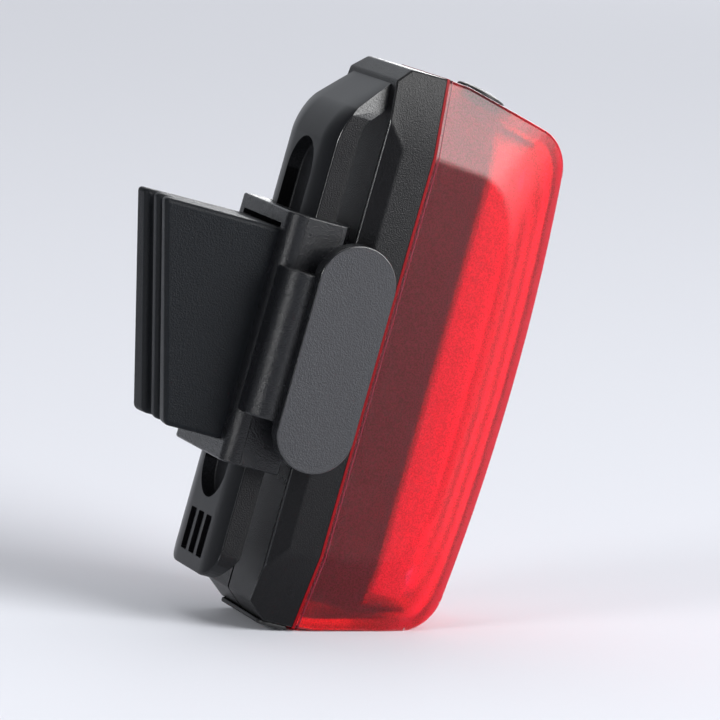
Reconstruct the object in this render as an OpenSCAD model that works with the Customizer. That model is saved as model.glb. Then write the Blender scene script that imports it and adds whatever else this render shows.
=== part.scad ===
// Rechargeable bicycle rear light on a slide-on seat post bracket.
// Every module is drawn in the light's own frame: X across, Y from the parting
// plane to the back, Z along the light. stand() then leans the light until the
// drafted bottom end of its lens lies flat on Z = 0.

/* [Body] */
// Length of the light along its own axis
body_h = 76; // [70:0.5:90]
// Width across the straight sides
body_w = 24; // [22:0.5:30]
// Width of the flat top and bottom ends
end_w = 18; // [15:0.5:20]
// Length of the tapered stretch at each end
taper_h = 10.5; // [8:0.5:14]
// Depth of the straight side behind the parting plane
side_d = 4.5; // [3.5:0.1:5.5]
// Depth of the housing behind the parting plane
back_d = 7; // [6.5:0.1:9]
// Width of the long bevel at each side of the back
back_bevel = 1; // [0.5:0.1:1.5]
// Size of the bevel across the back of both ends
end_bevel = 1.9; // [1:0.1:2.2]
// Wall of the housing
shell_wall = 1.6; // [1.2:0.1:2]

/* [Lens] */
// Depth of the lens in front of the parting plane, at its front corners
lens_d = 20.5; // [19.5:0.5:24]
// Extra depth of the bowed front at its middle
lens_bow = 1.4; // [0.8:0.1:2]
// Depth at which the side turns into the front band, at its middle
lens_side_d = 15.2; // [14:0.1:16]
// Inward draft of each side at that depth
lens_draft = 0.55; // [0.2:0.05:0.8]
// Width of the front face
lens_face_w = 14.8; // [13:0.1:16]
// Wall of the lens
lens_wall = 1.8; // [1.4:0.1:2.2]
// Depth of the nearly straight start of the end faces
root_d = 3.5; // [2:0.1:5]
// Drop of the end faces over that start
root_drop = 0.2; // [0.1:0.05:0.4]
// Draft of the end faces, which is also the lean of the standing light
end_draft = 13; // [10:0.5:15]
// Radius of the front corners in side view
lens_corner_r = 6; // [4:0.5:7]
// Thickness of the rim at the parting plane
rim_t = 0.7; // [0.5:0.1:1]
// How far the rim stands proud of the housing
rim_out = 0.12; // [0.05:0.01:0.25]

/* [Seal] */
// Width of the gasket in the housing's rim
gasket_w = 0.7; // [0.5:0.05:0.8]
// Depth of the gasket
gasket_t = 0.6; // [0.4:0.05:0.8]
// Distance of the gasket from the outer edge
gasket_set = 0.45; // [0.3:0.05:0.5]

/* [Belt clip] */
// Width of the clip
clip_w = 18.4; // [16:0.2:19]
// Gap between the housing and the clip
clip_gap = 2.8; // [2.4:0.1:3.5]
// Thickness of the clip at its edges
clip_edge_t = 2.6; // [2.2:0.1:3.4]
// Extra thickness of the clip at its crown
clip_crown = 1.1; // [0.8:0.1:1.5]
// Width of the flat crown
clip_crown_w = 15; // [13:0.1:15.4]
// Distance from the top of the light to the clip's root
clip_top = 2.5; // [2.2:0.1:3.5]
// Thickness of the sloping root
clip_web = 2.5; // [2:0.1:3]
// Radius of the bend between the root and the arm
clip_bend_r = 8; // [5:0.5:9]
// Radius inside that bend
clip_fillet_r = 3; // [1:0.5:4]
// Height of the clip's free end above the bottom of the housing
clip_foot = 3.6; // [2.5:0.1:5]
// Corner radius of the free end
clip_end_r = 4; // [2:0.5:5]
// Length of the lead-in slope at the free end
lead_l = 3.6; // [2:0.1:5]
// Depth of the lead-in slope at the free end
lead_d = 2; // [1:0.1:2.2]
// Width of the long recess in the clip
recess_w = 9.6; // [6:0.2:9.8]
// Depth of the long recess
recess_depth = 2; // [1:0.1:2.5]
// Distance from the free end to the long recess
recess_foot = 8.9; // [8:0.1:11]
// Distance from the root bend to the long recess
recess_top = 3.3; // [2:0.1:5]
// Width of the shallow grip panel at the free end
panel_w = 7.4; // [5:0.2:9]
// Length of the shallow grip panel
panel_l = 5.2; // [4:0.1:6]
// Depth of the shallow grip panel
panel_depth = 0.4; // [0.2:0.05:0.6]
// Width of each grip bar
bar_w = 0.8; // [0.5:0.1:1.2]

/* [Bracket] */
// Length of the sleeve
bracket_l = 34.3; // [30:0.1:40]
// Height of the sleeve above the bottom of the housing
bracket_foot = 19.5; // [15:0.1:24]
// Side wall of the sleeve
bracket_wall = 1.85; // [1.5:0.05:2.5]
// Back wall of the sleeve
bracket_back_t = 2.9; // [2.6:0.1:3.4]
// Radius of the sleeve's back corners
bracket_r = 2.2; // [1.4:0.1:2.6]
// Thickness of the lips in front of the clip
lip_t = 0.95; // [0.7:0.05:1.4]
// Reach of the lips over the clip
lip_reach = 3; // [2:0.1:5]
// Sliding clearance round the clip
slide_clear = 0.25; // [0.15:0.01:0.35]
// Length of each strap hook's plate
hook_l = 31; // [26:0.5:34]
// Width of each strap hook's plate
hook_w = 10.8; // [8:0.1:12]
// Thickness of each strap hook's plate
hook_t = 2.6; // [1.5:0.1:3]
// Gap between the sleeve and the hook's plate
hook_gap = 3.2; // [2.5:0.1:4]
// Distance from the sleeve's back to the hook's plate
hook_back = 4; // [3:0.1:6]
// Length of the hook's neck
neck_l = 20; // [16:0.5:24]
// Depth of the hook's neck
neck_d = 7; // [5:0.1:8]
// Distance from the sleeve's back to the neck
neck_back = 0.3; // [0.2:0.1:1.2]
// Radius of the neck's outer corner
neck_r = 3; // [1:0.1:3]

/* [Wedge pad] */
// Width of the pad where it meets the bracket
pad_front_w = 15.8; // [13:0.1:17]
// Width of the pad at the seat post
pad_back_w = 12.8; // [10:0.1:14]
// Distance from the bottom of the sleeve to the pad
pad_foot = 2.5; // [1:0.1:4]
// Distance from the top of the sleeve to the pad
pad_head = 2.6; // [2.4:0.1:5]
// Depth of the pad at its top
pad_top_d = 16.1; // [12:0.1:18]
// Depth of the pad at its foot
pad_foot_d = 7.9; // [6:0.1:10]
// Radius of the saddle for the seat post
saddle_r = 28; // [20:1:40]
// Depth of the saddle
saddle_depth = 0.65; // [0.3:0.05:1]
// Width of each of the two grooves
groove_w = 2.4; // [1.5:0.1:3]
// Depth of the grooves
groove_depth = 2; // [1:0.1:3]
// Width of the middle rib
rib_w = 2.2; // [1.5:0.1:3]
// Diameter of the two moulded pegs
peg_dia = 5; // [3:0.1:6]
// Spacing of the two pegs
peg_pitch = 16; // [12:0.5:20]
// Length of the pegs
peg_l = 2.4; // [1.5:0.1:2.5]
// Clearance round the pegs
peg_clear = 0.05; // [0.03:0.01:0.2]
// Height of the slot above the pad
slot_h = 0.7; // [0.5:0.1:1.2]

/* [Button] */
// Diameter of the power button
button_dia = 7; // [5:0.1:7.4]
// Height of the button's straight side above the lens
button_step = 0.8; // [0.5:0.05:1]
// Extra height of the button's dome
dome_h = 0.4; // [0.3:0.05:0.8]
// Width of the collar that keeps the button in
collar_w = 0.6; // [0.5:0.1:0.8]
// Thickness of the collar
collar_t = 0.7; // [0.5:0.1:1]
// Diameter of the stem that presses the switch
stem_dia = 2.6; // [2:0.1:3]
// Travel of the button
button_travel = 0.5; // [0.3:0.05:0.8]
// Clearance round the button
button_clear = 0.08; // [0.05:0.01:0.1]
// Width of the seal round the button
seal_w = 0.4; // [0.3:0.05:0.6]
// Height of the seal round the button
seal_h = 0.6; // [0.4:0.05:0.8]

/* [Switch] */
// Width of the switch
switch_w = 6; // [5:0.1:7]
// Depth of the switch
switch_t = 3.2; // [2.8:0.1:3.6]
// Height of the switch
switch_h = 3.4; // [2.8:0.1:4]
// Distance from the top of the light to the switch
switch_set = 7; // [6.6:0.1:8]
// Width of the plunger
plunger_w = 2.6; // [2:0.1:3]
// Depth of the plunger
plunger_t = 1.3; // [1:0.1:1.5]
// Height of the plunger above the switch
plunger_rise = 0.9; // [0.9:0.1:1.2]
// Clearance round the plunger
plunger_clear = 0.25; // [0.2:0.05:0.35]

/* [Charging port] */
// Width of the socket
socket_w = 7.5; // [7:0.1:8]
// Thickness of the socket
socket_t = 2.6; // [2.4:0.1:2.8]
// Length of the socket
socket_l = 5.2; // [4.5:0.1:6]
// Sheet metal of the socket
socket_wall = 0.3; // [0.2:0.05:0.4]
// Width of the contact tongue
tongue_w = 4.2; // [3.5:0.1:5]
// Thickness of the contact tongue
tongue_t = 0.7; // [0.5:0.05:0.9]
// Clearance of the port round the socket
port_clear = 0.3; // [0.2:0.05:0.4]
// Distance from the rubber cover's sides to the sides of the flat bottom
cover_side = 0.4; // [0.2:0.1:2]
// Thickness of the rubber cover
cover_t = 0.6; // [0.4:0.05:0.65]
// Distance from the parting plane to the cover's hinge
cover_set = 0.6; // [0.5:0.05:0.8]
// Length of the finger tab past the flat bottom
tab_l = 0.4; // [0.2:0.1:0.8]
// Height of the plug inside the port
plug_h = 1; // [0.6:0.1:1.2]
// Clearance of the plug in the port
plug_clear = 0.3; // [0.25:0.05:0.4]

/* [Electronics] */
// Depth of the inner frame's front in the lens
frame_d = 9; // [8.5:0.1:9.5]
// Wall of the inner frame
frame_wall = 1.2; // [1:0.1:1.4]
// Clearance between the inner frame and the lens
frame_clear = 0.6; // [0.4:0.05:0.7]
// Distance of the inner frame from both ends of the light
frame_end = 4.2; // [4:0.1:4.6]
// Reach of the frame's end rails in front of the board
rail_reach = 6.5; // [4:0.1:7]
// Half width of the frame's end rails
rail_half = 6; // [4.5:0.1:6.4]
// Thickness of the boards
board_t = 0.9; // [0.8:0.1:1]
// Height of the charge board
charge_board_h = 13; // [12:0.1:14]
// Number of LEDs
led_count = 4; // [3:1:4]
// Size of one LED
led_w = 3.5; // [2.8:0.1:3.8]
// Height of one LED
led_t = 1.9; // [1.4:0.1:2.2]
// Depth of the reflector's front in the lens
reflector_d = 14.1; // [13.6:0.1:14.2]
// Distance of the reflector from both ends of the light
reflector_end = 7.2; // [7:0.1:8]
// Rim left between two reflector cups
cup_rim = 1.8; // [1.4:0.1:2.4]
// Thickness of the fluted diffuser
diffuser_t = 1.4; // [1:0.1:1.5]
// Pitch of the flutes
flute_pitch = 1.7; // [1.4:0.1:2.4]
// Radius of one flute
flute_r = 0.5; // [0.3:0.05:0.6]
// Thickness of the battery's foam tape
tape_t = 0.8; // [0.5:0.1:1]
// Clearance round the battery
cell_clear = 0.5; // [0.3:0.05:0.7]
// Width of each battery tab
tab_w = 3; // [2:0.1:3.4]
// Thickness of each battery tab
tab_t = 0.2; // [0.15:0.01:0.3]
// Diameter of a link pin
pin_dia = 0.64; // [0.5:0.02:0.7]
// Pitch of the link pins
pin_pitch = 2.54; // [2:0.02:2.6]
// Size of one driver chip
chip_w = 2.8; // [2.4:0.1:3]
// Height of one driver chip
chip_t = 0.9; // [0.7:0.1:1.1]
// Diameter of a board screw
screw_dia = 1.6; // [1.4:0.1:1.8]
// Diameter of a board screw's head
head_dia = 2.8; // [2.4:0.1:3]
// Height of a board screw's head
head_t = 0.9; // [0.6:0.1:1]
// Length of a board screw under its head
screw_l = 3.2; // [2.8:0.1:3.5]
// Diameter of a screw boss
boss_dia = 3.4; // [3:0.1:3.6]
// Clearance round a screw
screw_clear = 0.1; // [0.05:0.01:0.15]

/* [Hidden] */
$fn = 48;

// A cut runs this far past the face that it opens
over = 1;
// Gap that keeps two resting pieces of one assembly from sharing a face
seat_gap = 0.1;
// Part of a radius by which a drawn point reaches past an arc
past_arc = 0.1;

half_w = body_w / 2;
half_end = end_w / 2;
mid_h = body_h / 2;
taper_k = (half_w - half_end) / taper_h;
taper_q = sqrt(1 + taper_k * taper_k);

// End faces of the lens: a short root slope, then the draft
root_k = root_drop / root_d;
root_q = sqrt(1 + root_k * root_k);
draft_k = tan(end_draft);
draft_q = 1 / cos(end_draft);

// Side and front band of the lens
lens_side_x = half_w - lens_draft;
side_k = lens_draft / lens_side_d;
side_q = sqrt(1 + side_k * side_k);
lens_front = lens_d + lens_bow;
band_k = (lens_side_x - lens_face_w / 2) / (lens_front - lens_side_d);
band_q = sqrt(1 + band_k * band_k);

// Tapered corners of the lens: they draw in with the end faces
corner_k = (root_drop + (lens_d - root_d) * draft_k) / lens_d;
corner_turn = atan(taper_k * corner_k);
corner_tip = atan(taper_k * cos(corner_turn));
corner_out = [cos(corner_tip) * cos(corner_turn), -cos(corner_tip) * sin(corner_turn), sin(corner_tip)];
corner_in = sin(corner_turn);

// Long bevel of the housing's back
bevel_k = back_bevel / (back_d - side_d);
bevel_q = sqrt(1 + bevel_k * bevel_k);
floor_d = back_d - shell_wall;
flat_d = back_d - end_bevel;

// Belt clip and the sleeve round it
clip_half = clip_w / 2;
crown_half = clip_crown_w / 2;
clip_front = back_d + clip_gap;
clip_edge = clip_front + clip_edge_t;
clip_back = clip_edge + clip_crown;
clip_root = body_h - clip_top;
crown_k = clip_crown / (clip_half - crown_half);
crown_q = sqrt(1 + crown_k * crown_k);
clip_bend = clip_root - (clip_back - back_d);
sleeve_in = clip_half + slide_clear;
sleeve_out = sleeve_in + bracket_wall;
sleeve_front = clip_front - slide_clear - lip_t;
sleeve_back = clip_back + slide_clear + bracket_back_t;
sleeve_top = bracket_foot + bracket_l;
sleeve_mid = bracket_foot + bracket_l / 2;
hook_in = sleeve_out + hook_gap;
hook_d = sleeve_back - hook_back - hook_w / 2;

// Wedge pad
pad_low = bracket_foot + pad_foot;
pad_high = sleeve_top - pad_head;
pad_h = pad_high - pad_low;
pad_mid = pad_low + pad_h / 2;
pad_tilt = atan((pad_top_d - pad_foot_d) / pad_h);

// Charging port, centred on the flat bottom of the housing
port_d = flat_d / 2;
mouth_h = shell_wall + port_clear;
charge_back = port_d - socket_t / 2;
charge_front = charge_back - board_t;
charge_top = mouth_h + charge_board_h;
charge_screw_h = mouth_h + socket_l + boss_dia;
pin_h = frame_end + frame_wall + pin_dia * 3;
chip_h = pin_h + pin_dia;
port_w = socket_w + 2 * port_clear;
port_t = socket_t + 2 * port_clear;

// Inner frame, boards and reflector
frame_in = lens_wall + frame_clear + max(lens_draft, corner_in * frame_d);
reflector_in = lens_wall + frame_clear + max(lens_draft, corner_in * reflector_d);
frame_half = half_w - frame_in;
bulk_back = frame_wall - frame_d;
led_board_front = -frame_d - board_t;
led_pitch = (body_h - 2 * reflector_end) / led_count;
led_screw_x = frame_half - frame_wall - head_dia / 2;
boss_end = led_board_front + screw_l + seat_gap;
switch_top = body_h - switch_set;
switch_low = switch_top - switch_h;

// Battery between the foam tape, the screw bosses, the charge board and the switch
cell_back = floor_d - tape_t;
cell_front = boss_end + cell_clear;
cell_half = frame_half - frame_wall - cell_clear;
charge_screw_x = cell_half - head_dia / 2 - port_clear;
cell_low = charge_top + cell_clear;
cell_high = switch_low - cell_clear;
battery_tab_x = cell_half - tab_w / 2;
battery_tab_low = charge_screw_h + head_dia / 2 + seat_gap;

// Button axis: it runs from the plunger's top square to the lens's end face
plunger_d = -frame_d + switch_t / 2;
plunger_top = switch_top + plunger_rise;
face_rise = body_h - root_drop - (-plunger_d - root_d) * draft_k - plunger_top;
button_rise = face_rise * cos(end_draft);
button_d = plunger_d - button_rise * sin(end_draft);
button_h = plunger_top + button_rise * cos(end_draft);
button_r = button_dia / 2;
collar_top = -lens_wall - seat_gap;
stem_low = seat_gap + stem_dia / 2 * draft_k - button_rise;

// Stand face: the flat drafted stretch of the lens's bottom end
corner_d = lens_d - lens_corner_r;
corner_h = root_drop + (corner_d - root_d) * draft_k + lens_corner_r * draft_q;
tangent_d = corner_d - lens_corner_r * sin(end_draft);
stand_d = -(root_d + tangent_d) / 2;
stand_h = root_drop + (-stand_d - root_d) * draft_k;

// Bowed front of the lens: an arc that meets both front corners at the lens's depth
bow_half = mid_h - corner_h;
bow_r = (lens_bow * lens_bow + bow_half * bow_half) / (2 * lens_bow);
bow_d = bow_r - lens_front;
bow_drop = pow(mid_h - reflector_end, 2) / (2 * bow_r);

// Front outline of the light, moved inwards by t
function outline(t) =
    let (w = half_w - t)
    let (x = half_end + t * taper_k - t * taper_q)
    let (h = (w - half_end + t * taper_q) / taper_k)
    [[-x, t], [x, t], [w, h], [w, body_h - h],
     [x, body_h - t], [-x, body_h - t], [-w, body_h - h], [-w, h]];

// Cross section of the housing's back, moved inwards by t
function back_section(t) =
    let (edge = side_d - t * (bevel_q - 1) / bevel_k)
    let (w = half_w - t)
    let (x = half_w - bevel_k * (back_d - t - side_d) - t * bevel_q)
    [[-w, -over], [w, -over], [w, edge], [x, back_d - t], [-x, back_d - t], [-w, edge]];

// Side view of the housing's back, moved inwards by t
function back_profile(t) =
    let (d = flat_d + t - t * sqrt(2))
    let (h = end_bevel - t + t * sqrt(2))
    [[-over, t], [d, t], [back_d - t, h], [back_d - t, body_h - h], [d, body_h - t], [-over, body_h - t]];

// Cross section between the sides of the lens, moved inwards by t
function side_section(t) =
    let (back_x = half_w + side_k * over - t * side_q)
    let (front_x = half_w - side_k * (lens_front + over) - t * side_q)
    [[-back_x, over], [back_x, over], [front_x, -lens_front - over], [-front_x, -lens_front - over]];

// Cross section between the front bands, from the bow's centre line, moved inwards by t
function band_section(t) =
    let (back_x = lens_side_x + band_k * (lens_side_d + over) - t * band_q)
    let (front_x = lens_side_x - band_k * (lens_front + over - lens_side_d) - t * band_q)
    [[bow_d - over, -back_x], [bow_d - over, back_x], [bow_r + over, front_x], [bow_r + over, -front_x]];

// Cross section of the belt clip, grown by g
function clip_section(g) =
    let (w = clip_half + g)
    let (edge = clip_edge - g * crown_k + g * crown_q)
    let (x = clip_half - (clip_crown + g - g * crown_q) / crown_k)
    let (b = clip_back + g)
    [[-w, clip_front - g], [w, clip_front - g], [w, edge], [x, b], [-x, b], [-w, edge]];

// Extrudes a side view (Y, Z) across the light
module along_x(width) {
    rotate([90, 0, 90])
        translate([0, 0, -width / 2])
            linear_extrude(width)
                children();
}

// Extrudes a front view (X, Z) between two depths
module along_d(from, to) {
    translate([0, to, 0])
        rotate([90, 0, 0])
            linear_extrude(to - from)
                children();
}

// Extrudes a cross section (X, Y) between two heights
module along_h(from, to) {
    translate([0, 0, from])
        linear_extrude(to - from)
            children();
}

// Box between two corners
module block(low, high) {
    translate(low)
        cube(high - low);
}

// Round bar along the depth
module rod(dia, from, to) {
    translate([0, to, 0])
        rotate([90, 0, 0])
            cylinder(d = dia, h = to - from);
}

// Flat oblong with round ends, centred
module oblong(width, height) {
    r = width / 2;
    square([width, height - width], center = true);
    for (s = [-1, 1])
        translate([0, s * (height / 2 - r)])
            circle(r);
}

// Frame of the power button: Z along its travel, zero on the lens's end face
module at_button() {
    translate([0, button_d, button_h])
        rotate([end_draft, 0, 0])
            children();
}

// Places of the screws that hold the LED board
module at_led_screws() {
    for (s = [-1, 1])
        translate([s * led_screw_x, 0, mid_h])
            children();
}

// Places of the screws that hold the charge board
module at_charge_screws() {
    for (s = [-1, 1])
        translate([s * charge_screw_x, 0, charge_screw_h])
            children();
}

// Places of the LEDs
module at_leds() {
    for (i = [0 : led_count - 1])
        translate([0, 0, reflector_end + (i + 0.5) * led_pitch])
            children();
}

// Leans the light onto its stand face
module stand() {
    translate([0, stand_h * sin(end_draft) - stand_d * cos(end_draft),
               -stand_d * sin(end_draft) - stand_h * cos(end_draft)])
        rotate([end_draft, 0, 0])
            children();
}

// Outer or inner form of the housing
module back_form(t, front) {
    intersection() {
        along_d(front, back_d - t)
            polygon(outline(t));
        along_h(-over, body_h + over)
            polygon(back_section(t));
        along_x(body_w + over)
            polygon(back_profile(t));
    }
}

// Side view of the lens, moved inwards by t, with round front corners and a bowed front
module lens_profile(t) {
    r = lens_corner_r - t;
    rise = root_drop - draft_k * root_d + t * (draft_q - root_q);
    u = rise / (root_k - draft_k);
    h0 = t * root_q - root_k * over;
    hu = root_k * u + t * root_q;
    tip = [-corner_d - r * sin(end_draft), corner_h - r * cos(end_draft)];
    wedge = [bow_d, mid_h] - (1 + past_arc) * [bow_d + corner_d, bow_half];
    low = [[over, h0], [-u, hu], tip, [-corner_d, corner_h], wedge];
    intersection() {
        union() {
            polygon(concat(low, [for (i = [4 : -1 : 0]) [low[i][0], body_h - low[i][1]]]));
            for (h = [corner_h, body_h - corner_h])
                translate([-corner_d, h])
                    circle(r);
        }
        translate([bow_d, mid_h])
            circle(bow_r - t, $fn = 720);
    }
}

// Repeats the lens's upper left corner at all four corners
module at_corners() {
    children();
    mirror([1, 0, 0])
        children();
    translate([0, 0, body_h])
        mirror([0, 0, 1]) {
            children();
            mirror([1, 0, 0])
                children();
        }
}

// Outer or inner form of the lens
module lens_form(t, back) {
    difference() {
        intersection() {
            along_d(-lens_front, back)
                translate([-half_w, -over])
                    square([body_w, body_h + 2 * over]);
            along_h(-over, body_h + over)
                polygon(side_section(t));
            along_x(body_w + over)
                lens_profile(t);
            translate([0, bow_d, mid_h])
                rotate([0, 90, 0])
                    rotate_extrude($fn = 720)
                        polygon(band_section(t));
        }
        at_corners()
            translate([half_end, 0, body_h] - t * corner_out)
                rotate([0, -corner_tip, -corner_turn])
                    translate([0, -body_h, -body_h])
                        cube(2 * body_h);
    }
}

// Sliver between the 45 degree bend at a corner and the arc of radius r inside it
module bend_sliver(corner, r) {
    reach = r * tan(22.5);
    difference() {
        polygon([corner, corner - [reach, -reach] / sqrt(2), corner - [r, reach], corner - [0, reach]]);
        translate(corner - [r, reach])
            circle(r);
    }
}

// Side view of the belt clip: sloping root, arm and lead-in
module clip_profile() {
    under = clip_root - clip_web * sqrt(2);
    wall_d = back_d - shell_wall / 2;
    difference() {
        polygon([[wall_d, clip_root], [back_d, clip_root], [clip_back, clip_bend],
                 [clip_back, clip_foot], [clip_front + lead_d, clip_foot],
                 [clip_front, clip_foot + lead_l], [clip_front, under - clip_gap],
                 [back_d, under], [wall_d, under]]);
        bend_sliver([clip_back, clip_bend], clip_bend_r);
    }
    bend_sliver([clip_front, under - clip_gap], clip_fillet_r);
}

// Belt clip with its crowned arm and rounded free end
module clip_form() {
    intersection() {
        along_x(clip_w)
            clip_profile();
        along_h(0, body_h)
            union() {
                polygon(clip_section(0));
                translate([-clip_half, 0])
                    square([clip_w, clip_edge]);
            }
        along_d(0, clip_back + over)
            union() {
                translate([-clip_half, clip_foot + clip_end_r])
                    square([clip_w, body_h]);
                translate([clip_end_r - clip_half, clip_foot])
                    square([clip_w - 2 * clip_end_r, body_h]);
                for (s = [-1, 1])
                    translate([s * (clip_half - clip_end_r), clip_foot + clip_end_r])
                        circle(clip_end_r);
            }
    }
}

// Long recess and shallow grip panel in the clip's crown
module clip_recesses() {
    low = clip_foot + recess_foot;
    high = clip_bend - recess_top;
    panel_low = clip_foot + (recess_foot - panel_l) / 2;
    along_d(clip_back - recess_depth, clip_back + over)
        translate([0, (low + high) / 2])
            oblong(recess_w, high - low);
    along_d(clip_back - panel_depth, clip_back + over)
        difference() {
            translate([-panel_w / 2, panel_low])
                square([panel_w, panel_l]);
            for (s = [-1, 1])
                translate([s * panel_w / 6 - bar_w / 2, panel_low])
                    square([bar_w, panel_l]);
        }
}

module housing() {
    color("#26262a")
        difference() {
            union() {
                difference() {
                    back_form(0, 0);
                    back_form(shell_wall, -over);
                }
                at_charge_screws()
                    rod(boss_dia, charge_back, floor_d + shell_wall / 2);
                clip_form();
            }
            clip_recesses();
            along_d(-over, gasket_t)
                difference() {
                    polygon(outline(gasket_set));
                    polygon(outline(gasket_set + gasket_w));
                }
            at_charge_screws()
                rod(screw_dia + 2 * screw_clear, charge_front, floor_d);
            block([-port_w / 2, port_d - port_t / 2, -over],
                  [port_w / 2, port_d + port_t / 2, mouth_h + over]);
        }
}

module lens() {
    color("#e0123a", 0.7)
        difference() {
            union() {
                lens_form(0, 0);
                along_d(-rim_t, 0)
                    polygon(outline(-rim_out));
            }
            lens_form(lens_wall, over);
            at_button() {
                translate([0, 0, -lens_wall - over])
                    cylinder(r = button_r + button_clear, h = lens_wall + 2 * over);
                translate([0, 0, -(lens_wall + seal_h) / 2])
                    cylinder(r = button_r + button_clear + seal_w, h = seal_h);
            }
        }
}

module lens_gasket() {
    color("#3c3c40")
        along_d(0, gasket_t)
            difference() {
                polygon(outline(gasket_set));
                polygon(outline(gasket_set + gasket_w));
            }
}

module power_button() {
    dome_r = (button_r * button_r + dome_h * dome_h) / (2 * dome_h);
    color("#1d1d1f")
        at_button() {
            intersection() {
                cylinder(r = button_r, h = button_step + 2 * dome_h);
                translate([0, 0, button_step + dome_h - dome_r])
                    sphere(dome_r, $fn = 96);
            }
            translate([0, 0, collar_top - collar_t])
                cylinder(r = button_r, h = collar_t - collar_top);
            translate([0, 0, collar_top - collar_t])
                cylinder(r = button_r + collar_w, h = collar_t);
            translate([0, 0, stem_low])
                cylinder(d = stem_dia, h = -stem_low);
        }
}

module button_seal() {
    color("#3c3c40")
        at_button()
            translate([0, 0, -(lens_wall + seal_h) / 2])
                difference() {
                    cylinder(r = button_r + button_clear + seal_w, h = seal_h);
                    translate([0, 0, -over])
                        cylinder(r = button_r + button_clear, h = seal_h + 2 * over);
                }
}

// Plunger of the switch, grown by g
module plunger_form(g, low) {
    block([-plunger_w / 2 - g, plunger_d - plunger_t / 2 - g, low],
          [plunger_w / 2 + g, plunger_d + plunger_t / 2 + g, plunger_top + g]);
}

module tact_switch() {
    color("#2a2a2c")
        difference() {
            block([-switch_w / 2, -frame_d, switch_low], [switch_w / 2, switch_t - frame_d, switch_top]);
            plunger_form(plunger_clear, switch_top - plunger_rise - button_travel - plunger_clear);
        }
}

module switch_plunger() {
    color("#c8c4b8")
        plunger_form(0, switch_top - plunger_rise);
}

module port_cover() {
    cover_half = half_end - cover_side;
    plug_half = port_w / 2 - plug_clear;
    plug_t = port_t / 2 - plug_clear;
    color("#202022")
        union() {
            block([-cover_half, cover_set, -cover_t], [cover_half, flat_d + tab_l, 0]);
            block([-plug_half, port_d - plug_t, -cover_t], [plug_half, port_d + plug_t, plug_h]);
        }
}

module usb_socket() {
    half = socket_w / 2;
    color("#b9bcc0")
        difference() {
            block([-half, charge_back, mouth_h], [half, charge_back + socket_t, mouth_h + socket_l]);
            block([socket_wall - half, charge_back + socket_wall, mouth_h - over],
                  [half - socket_wall, charge_back + socket_t - socket_wall,
                   mouth_h + socket_l - socket_wall]);
        }
}

module usb_tongue() {
    color("#28282a")
        block([-tongue_w / 2, port_d - tongue_t / 2, mouth_h + tongue_t],
              [tongue_w / 2, port_d + tongue_t / 2, mouth_h + socket_l - socket_wall]);
}

module charge_board() {
    color("#1f5a36")
        difference() {
            along_d(charge_front, charge_back)
                intersection() {
                    polygon(outline(mouth_h));
                    translate([-cell_half, 0])
                        square([2 * cell_half, charge_top]);
                }
            at_charge_screws()
                rod(screw_dia + 2 * screw_clear, charge_front - over, charge_back + over);
        }
}

module driver_chips() {
    color("#19191b")
        for (i = [0, 1])
            translate([-chip_w / 2, charge_front - chip_t, chip_h + i * (chip_w + seat_gap)])
                cube([chip_w, chip_t, chip_w]);
}

// Row of link pins between the boards, with a given diameter
module pin_row(dia, from, to) {
    for (i = [-1.5 : 1.5])
        translate([i * pin_pitch, 0, pin_h])
            rod(dia, from, to);
}

module link_pins() {
    color("#c9a94e")
        pin_row(pin_dia, -frame_d, charge_front);
}

module led_board() {
    color("#e8e6de")
        difference() {
            along_d(led_board_front, -frame_d)
                intersection() {
                    polygon(outline(frame_in + frame_clear));
                    translate([-half_w, frame_end + frame_wall])
                        square([body_w, body_h - 2 * (frame_end + frame_wall)]);
                }
            at_led_screws()
                rod(screw_dia + 2 * screw_clear, led_board_front - over, over - frame_d);
        }
}

module leds() {
    color("#f0d94a")
        at_leds()
            block([-led_w / 2, led_board_front - led_t, -led_w / 2], [led_w / 2, led_board_front, led_w / 2]);
}

module reflector() {
    cup_depth = reflector_d + led_board_front;
    color("#d9d4d2")
        difference() {
            along_d(-reflector_d, led_board_front)
                intersection() {
                    polygon(outline(reflector_in));
                    translate([-half_w, reflector_end])
                        square([body_w, body_h - 2 * reflector_end]);
                }
            at_leds()
                translate([0, led_board_front, 0])
                    rotate([90, 0, 0])
                        cylinder(r1 = led_w * 0.8, r2 = (led_pitch - cup_rim) / 2, h = cup_depth);
            at_led_screws()
                rod(head_dia + 2 * frame_clear, led_board_front - head_t - screw_clear, led_board_front + over);
        }
}

module diffuser() {
    back = -reflector_d;
    front = back - diffuser_t;
    past_side = reflector_d + diffuser_t + flute_r + bow_drop - lens_side_d;
    half = lens_side_x - band_k * past_side - lens_wall * band_q - seat_gap;
    low = reflector_end + flute_r;
    flutes = floor((half - flute_r) / flute_pitch);
    color("#f2c4c6", 0.6)
        intersection() {
            union() {
                block([-half, front, low], [half, back, body_h - low]);
                for (i = [-flutes : flutes])
                    translate([i * flute_pitch, front, low])
                        cylinder(r = flute_r, h = body_h - 2 * low);
            }
            along_d(front - flute_r, back)
                polygon(outline(half_w - half));
        }
}

// End rail of the inner frame, which follows the lens's top end
module frame_rail() {
    inner = root_drop + lens_wall * draft_q + frame_clear;
    reach = frame_d + rail_reach;
    low = body_h - inner - (frame_d - root_d) * draft_k;
    tip = body_h - inner - (reach - root_d) * draft_k;
    along_x(2 * rail_half)
        polygon([[bulk_back, low - frame_wall], [bulk_back, low], [-frame_d, low], [-reach, tip],
                 [-reach, tip - frame_wall / 2], [-frame_d, low - frame_wall]]);
}

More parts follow.
